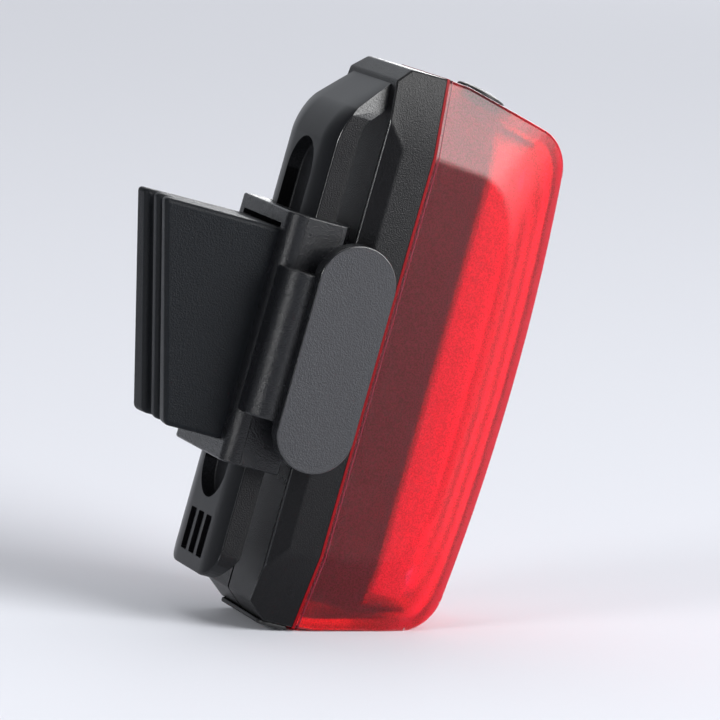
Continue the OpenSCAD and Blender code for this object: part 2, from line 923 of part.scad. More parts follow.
module inner_frame() {
    hole_x = switch_w / 2 + plunger_clear;
    pin_room = 2 * pin_pitch;
    color("#1c1c1e")
        difference() {
            union() {
                intersection() {
                    along_d(-frame_d, floor_d)
                        difference() {
                            polygon(outline(frame_in));
                            polygon(outline(frame_in + frame_wall));
                        }
                    block([-half_w, -frame_d, frame_end], [half_w, floor_d, body_h - frame_end]);
                }
                along_d(-frame_d, bulk_back)
                    intersection() {
                        polygon(outline(frame_in));
                        translate([-half_w, frame_end])
                            square([body_w, body_h - 2 * frame_end]);
                    }
                at_led_screws()
                    rod(boss_dia, -frame_d, boss_end);
                frame_rail();
                translate([0, 0, body_h])
                    mirror([0, 0, 1])
                        frame_rail();
            }
            at_led_screws()
                rod(screw_dia + 2 * screw_clear, -frame_d - over, boss_end + over);
            block([-hole_x, -frame_d - over, switch_low - plunger_clear],
                  [hole_x, switch_t - frame_d + plunger_clear, body_h]);
            block([-half_w, charge_front - cell_clear, 0], [half_w, back_d, charge_top + cell_clear]);
            block([-pin_room, -frame_d - over, pin_h - 2 * pin_dia],
                  [pin_room, bulk_back + over, pin_h + 2 * pin_dia]);
            at_button()
                translate([0, 0, collar_top - collar_t - button_travel - frame_clear])
                    cylinder(r = button_r + collar_w + frame_clear, h = 2 * lens_wall + collar_t);
        }
}

// Board screw along the depth: head in front of zero, shank behind it
module board_screw() {
    rod(head_dia, -head_t, 0);
    rod(screw_dia, -head_t, screw_l);
}

module board_screws() {
    color("#9a9ca0") {
        at_led_screws()
            translate([0, led_board_front, 0])
                board_screw();
        at_charge_screws()
            translate([0, charge_front, 0])
                board_screw();
    }
}

module battery() {
    color("#b8bcc2")
        block([-cell_half, cell_front, cell_low], [cell_half, cell_back, cell_high]);
}

module battery_tape() {
    color("#4a4a4c")
        block([-cell_half / 2, cell_back, cell_low + cell_half], [cell_half / 2, floor_d, cell_high - cell_half]);
}

module battery_tabs() {
    color("#c2c0b8")
        for (s = [-1, 1])
            translate([s * battery_tab_x, charge_front - tab_t, battery_tab_low])
                translate([-tab_w / 2, 0, 0])
                    cube([tab_w, tab_t, cell_low - battery_tab_low]);
}

// Strap hook on the sleeve's right side
module strap_hook() {
    neck_low = sleeve_mid - neck_l / 2;
    neck_end = sleeve_back - neck_back;
    along_h(neck_low, neck_low + neck_l) {
        translate([sleeve_out - bracket_r, neck_end - neck_d])
            square([bracket_r + hook_gap, neck_d - neck_r]);
        translate([sleeve_out - bracket_r, neck_end - neck_d])
            square([bracket_r + hook_gap - neck_r, neck_d]);
        translate([hook_in - neck_r, neck_end - neck_r])
            circle(neck_r);
    }
    translate([hook_in + hook_t / 2, hook_d, sleeve_mid])
        along_x(hook_t)
            oblong(hook_w, hook_l);
}

module bracket() {
    half = sleeve_out;
    color("#222224")
        difference() {
            union() {
                along_h(bracket_foot, sleeve_top) {
                    translate([-half, sleeve_front])
                        square([2 * half, sleeve_back - sleeve_front - bracket_r]);
                    translate([bracket_r - half, sleeve_front])
                        square([2 * (half - bracket_r), sleeve_back - sleeve_front]);
                    for (s = [-1, 1])
                        translate([s * (half - bracket_r), sleeve_back - bracket_r])
                            circle(bracket_r);
                }
                strap_hook();
                mirror([1, 0, 0])
                    strap_hook();
            }
            along_h(bracket_foot - over, sleeve_top + over) {
                polygon(clip_section(slide_clear));
                translate([lip_reach - sleeve_in, sleeve_front - over])
                    square([2 * (sleeve_in - lip_reach), clip_gap]);
            }
            for (s = [-1, 1])
                translate([0, 0, pad_mid + s * peg_pitch / 2])
                    rod(peg_dia + 2 * peg_clear, clip_edge, sleeve_back + over);
            block([-pad_front_w / 2, clip_edge, pad_high], [pad_front_w / 2, sleeve_back + over, pad_high + slot_h]);
        }
}

module wedge_pad() {
    half_front = pad_front_w / 2;
    half_back = pad_back_w / 2;
    tip = sleeve_back + pad_top_d;
    foot = sleeve_back + pad_foot_d;
    color("#1e1e20")
        difference() {
            union() {
                intersection() {
                    along_x(pad_front_w)
                        polygon([[sleeve_back, pad_low], [foot, pad_low], [tip, pad_high], [sleeve_back, pad_high]]);
                    along_h(pad_low, pad_high)
                        polygon([[-half_front, sleeve_back], [half_front, sleeve_back],
                                 [half_back, tip], [-half_back, tip]]);
                }
                for (s = [-1, 1])
                    translate([0, 0, pad_mid + s * peg_pitch / 2])
                        rod(peg_dia, sleeve_back - peg_l, sleeve_back + over);
            }
            translate([0, (tip + foot) / 2, pad_mid])
                rotate([-pad_tilt, 0, 0]) {
                    translate([0, saddle_r - saddle_depth, 0])
                        cylinder(r = saddle_r, h = 2 * pad_h, center = true, $fn = 128);
                    for (s = [-1, 1])
                        translate([s * (rib_w + groove_w) / 2, 0, 0])
                            cube([groove_w, 2 * groove_depth, 2 * pad_h], center = true);
                }
        }
}

stand() housing();
stand() lens();
stand() lens_gasket();
stand() power_button();
stand() button_seal();
stand() tact_switch();
stand() switch_plunger();
stand() port_cover();
stand() usb_socket();
stand() usb_tongue();
stand() charge_board();
stand() driver_chips();
stand() link_pins();
stand() led_board();
stand() leds();
stand() reflector();
stand() diffuser();
stand() inner_frame();
stand() board_screws();
stand() battery();
stand() battery_tape();
stand() battery_tabs();
stand() bracket();
stand() wedge_pad();
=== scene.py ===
import math

import bmesh
import bpy
from mathutils import Matrix, Vector


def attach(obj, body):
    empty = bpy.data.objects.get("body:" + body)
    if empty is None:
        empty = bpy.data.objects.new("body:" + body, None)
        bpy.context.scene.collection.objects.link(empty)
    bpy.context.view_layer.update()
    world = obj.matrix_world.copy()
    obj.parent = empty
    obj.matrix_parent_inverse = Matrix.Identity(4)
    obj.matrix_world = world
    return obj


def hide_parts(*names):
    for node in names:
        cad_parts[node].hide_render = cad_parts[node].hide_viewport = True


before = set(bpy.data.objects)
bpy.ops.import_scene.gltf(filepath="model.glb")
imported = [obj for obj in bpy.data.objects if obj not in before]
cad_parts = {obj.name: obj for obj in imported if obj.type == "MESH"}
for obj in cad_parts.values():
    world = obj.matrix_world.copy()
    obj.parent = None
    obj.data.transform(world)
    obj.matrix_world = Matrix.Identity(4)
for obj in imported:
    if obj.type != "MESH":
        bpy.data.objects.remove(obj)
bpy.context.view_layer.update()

bl_info = {
    "name": "Bike rear light",
    "version": (1, 0, 0),
    "blender": (4, 5, 0),
    "location": "3D View > Sidebar > Rear light",
    "description": "Dresses the solids of a bike rear light on its slide-on seat post bracket",
    "category": "Add Mesh",
}

MM = 0.001
NEAR = 1e-7  # Points closer than this, in metres, are one point
SAME = 1e-6  # Levels closer than this are one level
PAST = MM  # How far a cutting shape reaches past the surface that it opens
SHARP = math.radians(40)  # Edges that turn by more than this are shaded sharp

# Axes of the light's own frame: x across, d from the parting plane to the back, h along the light
AXES = {"x": Vector((1, 0, 0)), "d": Vector((0, 1, 0)), "h": Vector((0, 0, 1))}
PLANES = {"x": ("d", "h"), "d": ("x", "h"), "h": ("x", "d")}


def size(name, description, millimetres):
    """A length that a user may change, given in millimetres."""
    return bpy.props.FloatProperty(
        name=name, description=description, default=millimetres * MM, unit="LENGTH", precision=5)


def angle(name, description, degrees):
    """An angle that a user may change, given in degrees."""
    return bpy.props.FloatProperty(
        name=name, description=description, default=math.radians(degrees), subtype="ANGLE")


def linear(hex_colour):
    """Linear red, green, blue and alpha of an sRGB hex colour."""
    channels = [int(hex_colour[i:i + 2], 16) / 255 for i in (0, 2, 4)]
    return [c / 12.92 if c <= 0.04045 else ((c + 0.055) / 1.055) ** 2.4 for c in channels] + [1.0]


def tint(name, description, hex_colour):
    """A colour that a user may change."""
    return bpy.props.FloatVectorProperty(
        name=name, description=description, default=linear(hex_colour), size=4, subtype="COLOR",
        min=0, max=1)


class BodySizes(bpy.types.PropertyGroup):
    """Sizes of the housing behind the parting plane."""
    length: size("Length", "Length of the light along its own axis", 76)
    width: size("Width", "Width across the straight sides", 24)
    end_width: size("End width", "Width of the flat top and bottom ends", 18)
    taper: size("Taper", "Length of the tapered stretch at each end", 10.5)
    side_depth: size("Side depth", "Depth of the straight side", 4.5)
    depth: size("Depth", "Depth of the housing", 7)
    side_bevel: size("Side bevel", "Width of the long bevel at each side of the back", 1)
    end_bevel: size("End bevel", "Size of the bevel across the back of the top end", 1.9)
    foot_bevel: size("Foot bevel", "Depth of the bevel across the back of the bottom end", 2.8)
    foot_rise: size("Foot rise", "Height of that bevel", 2.3)
    wall: size("Wall", "Wall of the housing", 1.6)
    port_width: size("Port width", "Width of the opening for the socket", 8.1)
    port_depth: size("Port depth", "Depth of the opening for the socket", 3.2)
    line: size("Line", "Width of the parting groove down the lower back", 0.5)
    line_depth: size("Line depth", "Depth of the parting groove", 0.3)
    edge: size("Edge", "Rounding of the moulded edges", 0.28)


class LensSizes(bpy.types.PropertyGroup):
    """Sizes of the red lens in front of the parting plane."""
    depth: size("Depth", "Depth of the lens at its front corners", 20.5)
    bow: size("Bow", "Extra depth of the bowed front at its middle", 1.4)
    side_depth: size(
        "Side depth", "Depth at which the side turns into the front band, at its middle", 15.2)
    draft: size("Draft", "Inward draft of each side at that depth", 0.55)
    face_width: size("Face width", "Width of the front face", 14.8)
    wall: size("Wall", "Wall of the lens", 1.8)
    root_depth: size("Root depth", "Depth of the nearly straight start of the end faces", 3.5)
    root_drop: size("Root drop", "Drop of the end faces over that start", 0.2)
    end_draft: angle("End draft", "Draft of the end faces, and the lean of the standing light", 13)
    corner: size("Corner", "Radius of the front corners in side view", 6)
    rim: size("Rim", "Thickness of the rim at the parting plane", 0.38)
    rim_out: size("Rim reach", "How far the rim stands proud of the housing", 0.08)
    bead_set: size("Bead distance", "Distance of the fine bead from the parting plane", 0.75)
    bead: size("Bead", "Width of the fine bead", 0.1)
    edge: size("Edge", "Rounding of the lens's edges", 0.55)
    blend: size("Blend", "Radius between the tapered corners and the front band", 22)


class ButtonSizes(bpy.types.PropertyGroup):
    """Sizes of the power button in the lens's top end."""
    diameter: size("Diameter", "Diameter of the button", 7)
    depth: size("Depth", "Distance of the button's centre from the parting plane", 8.4958)
    step: size("Step", "Height of the straight side above the lens", 0.8)
    dome: size("Dome", "Extra height of the dome", 0.4)
    collar: size("Collar", "Width of the collar that keeps the button in", 0.6)
    collar_thickness: size("Collar thickness", "Thickness of the collar", 0.7)
    collar_gap: size("Collar gap", "Gap between the collar and the lens", 0.1)
    stem: size("Stem", "Diameter of the stem that presses the switch", 2.6)
    stem_length: size("Stem length", "Reach of the stem below the lens's end face", 4.4713)
    clearance: size("Clearance", "Clearance of the hole round the button", 0.08)
    edge: size("Edge", "Rounding of the button's edge", 0.3)


class CoverSizes(bpy.types.PropertyGroup):
    """Sizes of the rubber cover over the charging port."""
    side: size("Side", "Distance from the cover's sides to the sides of the flat bottom", 0.4)
    thickness: size("Thickness", "Thickness of the cover", 0.6)
    hinge: size("Hinge", "Distance from the parting plane to the cover's hinge", 0.6)
    tab: size("Tab", "Length of the finger tab past the flat bottom", 0.4)
    plug: size("Plug", "Height of the plug inside the port", 1)
    plug_gap: size("Plug gap", "Clearance of the plug in the port", 0.3)
    edge: size("Edge", "Rounding of the cover's edges", 0.18)


class ClipSizes(bpy.types.PropertyGroup):
    """Sizes of the belt clip on the housing's back."""
    width: size("Width", "Width of the clip", 18.4)
    gap: size("Gap", "Gap between the housing and the clip", 2.8)
    edge_thickness: size("Edge thickness", "Thickness of the clip at its edges", 2.88)
    crown: size("Crown", "Extra thickness of the clip at its crown", 0.82)
    crown_width: size("Crown width", "Width of the flat crown", 9.6)
    top: size("Top", "Distance from the top of the light to the clip's root", 2.5)
    web: size("Web", "Thickness of the sloping root", 2.5)
    bend: size("Bend", "Radius of the bend between the root and the arm", 8)
    fillet: size("Fillet", "Radius inside that bend", 3)
    foot: size("Foot", "Height of the free end above the bottom of the housing", 3.6)
    end_radius: size("End radius", "Corner radius of the free end", 4)
    lead_length: size("Lead-in length", "Length of the lead-in slope at the free end", 3.6)
    lead_depth: size("Lead-in depth", "Depth of the lead-in slope at the free end", 2)
    recess_width: size("Recess width", "Width of the long recess", 9.6)
    recess_depth: size("Recess depth", "Depth of the long recess", 2)
    recess_foot: size("Recess foot", "Distance from the free end to the long recess", 9.9)
    recess_top: size("Recess top", "Distance from the root bend to the long recess", 3.3)
    window_width: size("Window width", "Width of the barred window at the free end", 8.8)
    window_length: size("Window length", "Length of the barred window", 5.8)
    window_depth: size("Window depth", "Depth of the barred window", 0.7)
    bar: size("Bar", "Width of each bar in the window", 1)
    taper_top: size(
        "Taper top", "Distance from the top of the light to where the root narrows", 7.9)
    edge: size("Edge", "Rounding of the clip's edges", 0.25)


class BracketSizes(bpy.types.PropertyGroup):
    """Sizes of the sleeve that slides on the clip, and of its strap hooks."""
    length: size("Length", "Length of the sleeve", 34.3)
    foot: size("Foot", "Height of the sleeve above the bottom of the housing", 19.5)
    wall: size("Wall", "Side wall of the sleeve", 1.85)
    back: size("Back", "Back wall of the sleeve", 2.9)
    corner: size("Corner", "Radius of the sleeve's back corners", 2.2)
    lip: size("Lip", "Thickness of the lips in front of the clip", 0.95)
    lip_reach: size("Lip reach", "Reach of the lips over the clip", 3)
    clearance: size("Clearance", "Sliding clearance round the clip", 0.25)
    slot: size("Slot", "Height of the slot above the pad", 0.7)
    seam: size("Seam", "Width of the fine parting groove on the sleeve's sides", 0.16)
    edge: size("Edge", "Rounding of the sleeve's edges", 0.3)
    hook_length: size("Hook length", "Length of each strap hook's plate", 31)
    hook_width: size("Hook width", "Width of each strap hook's plate", 10.8)
    hook_thickness: size("Hook thickness", "Thickness of each strap hook's plate", 2.6)
    hook_gap: size("Hook gap", "Gap between the sleeve and the hook's plate", 3.2)
    hook_back: size("Hook back", "Distance from the sleeve's back to the hook's plate", 4)
    neck_length: size("Neck length", "Length of the hook's neck", 20)
    neck_depth: size("Neck depth", "Depth of the hook's neck", 7)
    neck_back: size("Neck back", "Distance from the sleeve's back to the neck", 0.3)
    neck_radius: size("Neck radius", "Radius of the neck's outer corner", 3)


class PadSizes(bpy.types.PropertyGroup):
    """Sizes of the rubber wedge between the bracket and the seat post."""
    front_width: size("Front width", "Width of the pad where it meets the bracket", 15.8)
    back_width: size("Back width", "Width of the pad at the seat post", 12.8)
    foot: size("Foot", "Distance from the bottom of the sleeve to the pad", 2.5)
    head: size("Head", "Distance from the top of the sleeve to the pad", 2.6)
    top_depth: size("Top depth", "Depth of the pad at its top", 16.1)
    foot_depth: size("Foot depth", "Depth of the pad at its foot", 7.9)
    saddle: size("Saddle", "Depth of the saddle for the seat post", 0.65)
    groove: size("Groove", "Width of each of the two grooves", 2.4)
    groove_depth: size("Groove depth", "Depth of the grooves", 2)
    rib: size("Rib", "Width of the middle rib", 2.2)
    edge: size("Edge", "Rounding of the pad's edges", 0.7)


class Finishes(bpy.types.PropertyGroup):
    """Colours of the pieces."""
    housing: tint("Housing", "Spark-eroded ABS of the housing", "0c0c0e")
    clip: tint("Clip", "Satin ABS of the belt clip", "111215")
    # The lining is painted lighter than the clip, as light in the recess's shade
    lining: tint("Lining", "Recess ABS painted lighter inside the clip's recess", "1b1c1f")
    bracket: tint("Bracket", "Satin polyamide of the sleeve", "131417")
    hook: tint("Hook", "Matte face of the strap hooks", "212227")
    pad: tint("Pad", "Moulded rubber of the wedge pad", "070b10")
    rubber: tint("Rubber", "Moulded rubber of the button and the port cover", "0b0b0c")
    lens: tint("Lens", "Red polycarbonate of the lens", "ff1240")
    rim: tint("Rim", "Edge-lit rim of the lens", "7a0009")
    # The bead's pinkish red is partly a painted highlight along its ridge
    bead: tint("Bead", "Fine bead beside the rim", "8a1c34")
    floor: tint("Floor", "Paper that the light stands on", "dddfe6")


class StageSizes(bpy.types.PropertyGroup):
    """Place of the camera."""
    azimuth: angle("Azimuth", "Turn of the camera round the light", 250.3244)
    elevation: angle("Elevation", "Height of the camera above the horizon", 8.0126)
    roll: angle("Roll", "Tilt of the picture", 3.5996)
    distance: size("Distance", "Distance of the camera", 826.9)
    aside: size("Aside", "Sideways place of the aim point", 4.41)
    above: size("Above", "Upward place of the aim point", -2.82)
    focal: bpy.props.FloatProperty(
        name="Focal length", description="Focal length on a 36 mm sensor", default=307.83,
        unit="CAMERA")


def lean():
    """Matrix from the light's own frame to the standing light."""
    lens = bpy.context.scene.rear_light_lens
    draft = math.tan(lens.end_draft)
    tangent = lens.depth - lens.corner - lens.corner * math.sin(lens.end_draft)
    stand_d = -(lens.root_depth + tangent) / 2
    stand_h = lens.root_drop + (-stand_d - lens.root_depth) * draft
    turn = Matrix.Rotation(lens.end_draft, 4, "X")
    return Matrix.Translation(-(turn @ Vector((0, stand_d, stand_h)))) @ turn


def face_outwards(bm):
    """Turns every face of a closed shape outwards."""
    bm.normal_update()
    bmesh.ops.recalc_face_normals(bm, faces=bm.faces[:])
    if bm.calc_volume(signed=True) < 0:
        bmesh.ops.reverse_faces(bm, faces=bm.faces[:])


def round_off(bm, geom, offset, segments, affect="EDGES"):
    """Bevels edges or corners to a round."""
    bmesh.ops.bevel(
        bm, geom=geom, offset=offset, offset_type="OFFSET", segments=segments, profile=0.5,
        affect=affect, material=-1)


def draw_out(bm, way):
    """Draws the faces of a flat shape out into a solid."""
    made = bmesh.ops.extrude_face_region(bm, geom=bm.faces[:])
    moved = [item for item in made["geom"] if isinstance(item, bmesh.types.BMVert)]
    bmesh.ops.translate(bm, verts=moved, vec=way)
    face_outwards(bm)


def rectangle(left, right, low, high):
    """Corners of a rectangle, in turn."""
    return [(left, low), (right, low), (right, high), (left, high)]


def mirrored(right):
    """A whole outline from its right half."""
    return right + [(-across, along) for across, along in reversed(right)]


def prism(points, axis, low, high, rounds=(), segments=10):
    """An outline drawn across an axis, its listed corners rounded, drawn out between two levels."""
    first, second = (AXES[name] for name in PLANES[axis])
    bm = bmesh.new()
    corners = [first * a + second * b + AXES[axis] * low for a, b in points]
    bm.faces.new([bm.verts.new(corner) for corner in corners])
    for index, radius in rounds:
        before = (corners[index - 1] - corners[index]).normalized()
        after = (corners[(index + 1) % len(corners)] - corners[index]).normalized()
        vert = min(bm.verts, key=lambda v: (v.co - corners[index]).length)
        reach = radius / math.tan(before.angle(after) / 2)
        round_off(bm, [vert], reach, segments, affect="VERTICES")
    draw_out(bm, AXES[axis] * (high - low))
    return bm


def split(bm, point, way, **options):
    """Cuts a shape along a plane."""
    return bmesh.ops.bisect_plane(
        bm, geom=bm.verts[:] + bm.edges[:] + bm.faces[:], dist=NEAR, plane_co=point, plane_no=way,
        **options)


def slice_off(bm, point, outward):
    """Cuts away all that lies outside a plane, and closes the cut."""
    cut = split(bm, point, Vector(outward).normalized(), clear_outer=True)
    edges = [item for item in cut["geom_cut"] if isinstance(item, bmesh.types.BMEdge)]
    bmesh.ops.holes_fill(bm, edges=edges, sides=0)


def soften(bm, width, segments=3, above=20, test=None):
    """Rounds the edges that turn by more than an angle and pass the test."""
    edges = [
        edge for edge in bm.edges
        if edge.is_manifold and edge.calc_face_angle() > math.radians(above)
        and (test is None or test((edge.verts[0].co + edge.verts[1].co) / 2, edge))]
    round_off(bm, edges, width, segments)


def mesh_of(bm, name="part"):
    """A mesh made from a shape, which is used up."""
    mesh = bpy.data.meshes.new(name)
    bm.to_mesh(mesh)
    bm.free()
    return mesh


def placed(name, data):
    """A new object in the scene."""
    made = bpy.data.objects.new(name, data)
    bpy.context.scene.collection.objects.link(made)
    return made


def joined(*shapes):
    """One bmesh that holds all the shapes."""
    whole = bmesh.new()
    for shape in shapes:
        mesh = mesh_of(shape)
        whole.from_mesh(mesh)
        bpy.data.meshes.remove(mesh)
    return whole


def carved(bm, *tools):
    """The shape with the space of each tool cut away."""
    face_outwards(bm)
    block, tool = [placed("part", mesh_of(shape)) for shape in (bm, joined(*tools))]
    cut = block.modifiers.new("Carve", "BOOLEAN")
    cut.object = tool
    cut.solver = "EXACT"
    bpy.context.view_layer.update()
    result = bmesh.new()
    result.from_object(block, bpy.context.evaluated_depsgraph_get())
    for used in (block, tool):
        bpy.data.meshes.remove(used.data)
    if not result.faces:
        raise RuntimeError("the carving left nothing")
    return result


def settle(bm, name, materials, body, nodes=()):
    """Stands a shape up in the frame as a finished piece that rides on a body."""
    bmesh.ops.transform(bm, matrix=lean(), verts=bm.verts[:])
    mesh = mesh_of(bm, name)
    for material in materials:
        mesh.materials.append(material)
    mesh.shade_smooth()
    mesh.set_sharp_from_angle(angle=SHARP)
    piece = placed(name, mesh)
    even = piece.modifiers.new("Even shading", "WEIGHTED_NORMAL")
    even.keep_sharp = True
    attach(piece, body)
    if nodes:
        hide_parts(*nodes)
    return piece


def add(tree, kind, inputs=None, stops=(), **settings):
    """A new node with its settings and colour stops, its inputs filled or linked."""
    made = tree.nodes.new(kind)
    for key, value in settings.items():
        setattr(made, key, value)
    for index, (position, colour) in enumerate(stops):
        made.color_ramp.elements[index].position = position
        made.color_ramp.elements[index].color = colour
    for key, value in (inputs or {}).items():
        if isinstance(value, bpy.types.NodeSocket):
            tree.links.new(value, made.inputs[key])
        else:
            made.inputs[key].default_value = value
    return made


def start_material(name):
    """An empty node material and its coordinates, in metres."""
    material = bpy.data.materials.new(name)
    material.use_nodes = True
    tree = material.node_tree
    tree.nodes.clear()
    place = add(tree, "ShaderNodeTexCoord").outputs["Object"]
    return material, tree, place


def shaded(value, factor):
    """A colour made darker or lighter."""
    return [min(1, channel * factor) for channel in value[:3]] + [1.0]


def grained(name, colour, grain, rise, roughness, spread=0.1, contrast=0.3, specular=0.5, glow=0):
    """A moulded surface: speckled colour, uneven gloss and a grain of given size and rise, in mm."""
    material, tree, place = start_material(name)
    # Real grain is mostly under 0.1 mm, and is drawn as coarse as it needs to show. The gloss
    # changes over about 6 mm, as where plastic flowed in the mould
    speckle = add(tree, "ShaderNodeTexNoise", {
        "Vector": place, "Scale": 1 / (grain * MM), "Detail": 3, "Roughness": 0.6})
    clouds = add(tree, "ShaderNodeTexNoise", {"Vector": place, "Scale": 1 / (6 * MM), "Detail": 2})
    tone = add(tree, "ShaderNodeValToRGB", {"Fac": speckle.outputs["Fac"]}, stops=(
        (0.3, shaded(colour, 1 - contrast)), (0.72, shaded(colour, 1 + contrast))))
    gloss = add(tree, "ShaderNodeMapRange", {
        "Value": clouds.outputs["Fac"], "From Min": 0.3, "From Max": 0.7,
        "To Min": roughness - spread / 2, "To Max": roughness + spread / 2})
    bump = add(tree, "ShaderNodeBump", {
        "Height": speckle.outputs["Fac"], "Distance": rise * MM, "Strength": 1.0})
    # Where a glow is given, the surface glows in its own colour as painted light
    shader = add(tree, "ShaderNodeBsdfPrincipled", {
        "Base Color": tone.outputs["Color"], "Roughness": gloss.outputs["Result"],
        "Normal": bump.outputs["Normal"], "IOR": 1.5, "Specular IOR Level": specular,
        "Emission Color": tone.outputs["Color"], "Emission Strength": glow})
    add(tree, "ShaderNodeOutputMaterial", {"Surface": shader.outputs["BSDF"]})
    return material


def frosted_lens(colour, glow, pitch, start, full):
    """Red polycarbonate from a fine-grained tool: light from inside glows through it without a sharp
    picture, and its face carries a pale sheen with a fine sparkle. A painted glow, in streaks of a
    given pitch in mm, stands in for light that flutes scatter out of the front of the wall; it grows
    from a start depth up to a full depth."""
    material, tree, place = start_material("Frosted red polycarbonate with painted glowing streaks")
    # The tool's grain is finer than this, and is drawn as coarse as it needs to show
    sparkle = add(tree, "ShaderNodeTexNoise", {
        "Vector": place, "Scale": 1 / (0.25 * MM), "Detail": 2, "Roughness": 0.7})
    bump = add(tree, "ShaderNodeBump", {
        "Height": sparkle.outputs["Fac"], "Distance": 0.02 * MM, "Strength": 1.0})
    tone = add(tree, "ShaderNodeValToRGB", {"Fac": sparkle.outputs["Fac"]}, stops=(
        (0.35, shaded(colour, 0.45)), (0.65, shaded(colour, 1.3))))
    # Depth in front of the parting plane, from the row of the matrix that gives it
    across = lean().inverted()[1]
    depth = add(tree, "ShaderNodeVectorMath", {0: place, 1: across[:3]}, operation="DOT_PRODUCT")
    # Painted glow: brighter towards the front, in streaks along the flutes and broken by the grain
    front = add(tree, "ShaderNodeMapRange", {
        "Value": depth.outputs["Value"], "From Min": -start - across[3],
        "From Max": -full - across[3], "To Min": 0.03}, interpolation_type="SMOOTHSTEP")
    flutes = add(tree, "ShaderNodeTexWave", {
        "Vector": place, "Scale": math.pi / (10 * pitch * MM), "Distortion": 1.5, "Detail": 2})
    painted_glow_streak = add(tree, "ShaderNodeMapRange", {"Value": flutes.outputs["Fac"], "To Min": 0.15})
    grain = add(tree, "ShaderNodeMapRange", {
        "Value": sparkle.outputs["Fac"], "From Min": 0.3, "From Max": 0.7, "To Min": 0.6})
    share = front.outputs["Result"]
    for pattern in (painted_glow_streak, grain):
        times = add(
            tree, "ShaderNodeMath", {0: share, 1: pattern.outputs["Result"]}, operation="MULTIPLY")
        share = times.outputs[0]
    painted_glow_colour = add(tree, "ShaderNodeValToRGB", {"Fac": share}, stops=((0, (0, 0, 0, 1)), (1, colour)))
    shader = add(tree, "ShaderNodeBsdfPrincipled", {
        "Base Color": tone.outputs["Color"], "Roughness": 0.28, "IOR": 1.42,
        "Transmission Weight": 0.96, "Normal": bump.outputs["Normal"],
        "Emission Color": painted_glow_colour.outputs["Color"], "Emission Strength": glow})
    # The wall takes green and blue out of the light that passes through it
    wall = add(tree, "ShaderNodeVolumeAbsorption", {
        "Color": (0.94, 0.06, 0.28, 1), "Density": 0.6 / MM})
    add(tree, "ShaderNodeOutputMaterial", {
        "Surface": shader.outputs["BSDF"], "Volume": wall.outputs["Volume"]})
    return material


def fluted(name, colour, pitch, glow):
    """A moulded light guide: flutes of a given pitch, in mm, painted pale and dark as light and
    shade, with a low painted glow.
    """
    material, tree, place = start_material(name)
    flutes = add(tree, "ShaderNodeTexWave", {
        "Vector": place, "Scale": math.pi / (10 * pitch * MM), "Distortion": 0.6, "Detail": 1})
    # Pale and dark flutes: painted light and shade of the guide's optics
    tone = add(tree, "ShaderNodeValToRGB", {"Fac": flutes.outputs["Fac"]}, stops=(
        (0.1, shaded(colour, 0.25)), (0.7, shaded(colour, 1))))
    shader = add(tree, "ShaderNodeBsdfPrincipled", {
        "Base Color": tone.outputs["Color"], "Roughness": 0.3, "IOR": 1.5,
        "Emission Color": tone.outputs["Color"], "Emission Strength": glow})
    add(tree, "ShaderNodeOutputMaterial", {"Surface": shader.outputs["BSDF"]})
    return material


def outline(body, inset):
    """Front outline of the light, moved inwards."""
    taper = (body.width - body.end_width) / 2 / body.taper
    slant = math.hypot(1, taper)
    half = body.width / 2 - inset
    end = body.end_width / 2 + inset * (taper - slant)
    low = (half - body.end_width / 2 + inset * slant) / taper
    right = [(end, inset), (half, low), (half, body.length - low), (end, body.length - inset)]
    return mirrored(right)


def housing_shape(body):
    """The housing: a tray with bevels round its back, open to the lens."""
    half = body.width / 2
    flat = body.depth - body.end_bevel
    rise = body.depth - body.side_depth
    bm = prism(outline(body, 0), "d", 0, body.depth)
    for side in (-1, 1):
        slice_off(bm, (side * half, body.side_depth, 0), (side * rise, body.side_bevel, 0))
    slice_off(bm, (0, flat, body.length), (0, 1, 1))
    slice_off(bm, (0, body.depth - body.foot_bevel, 0), (0, body.foot_rise, -body.foot_bevel))
    parting = 0.1 * MM  # Edges nearer to the parting plane stay sharp
    soften(bm, body.edge, test=lambda middle, edge: middle.y > parting)
    bm = carved(bm, prism(outline(body, body.wall), "d", -PAST, body.depth - body.wall))
    wide, deep = body.port_width / 2, body.port_depth / 2
    port_round = deep - 0.05 * MM  # A hair short of a half circle
    port = prism(
        rectangle(-wide, wide, flat / 2 - deep, flat / 2 + deep), "h", -PAST, body.wall + PAST,
        rounds=[(i, port_round) for i in range(4)], segments=6)
    bm = carved(bm, port)

    # The parting line: a fine groove down the lower back and over the foot bevel
    floor = body.depth - body.line_depth
    brink = floor - body.foot_bevel * (body.foot_rise + PAST) / body.foot_rise
    groove = prism(
        [(floor, body.taper), (body.depth + PAST, body.taper), (body.depth + PAST, -PAST),
         (brink, -PAST), (floor, body.foot_rise)], "x", -body.line / 2, body.line / 2)
    bm = carved(bm, groove)
    bm.normal_update()

    # The rounded edges of the long bevels are burnished
    for face in bm.faces:
        across, out, along = abs(face.normal.x), face.normal.y, abs(face.normal.z)
        face.material_index = int(0.1 < across < 0.88 and out > 0.42 and along < 0.1)
    return bm


# Places of the clip's materials, and of a hook's
SATIN, ERODED, BURNISHED, LINING, COARSE = range(5)
HOOK_BODY, HOOK_FACE, HOOK_RIM = range(3)


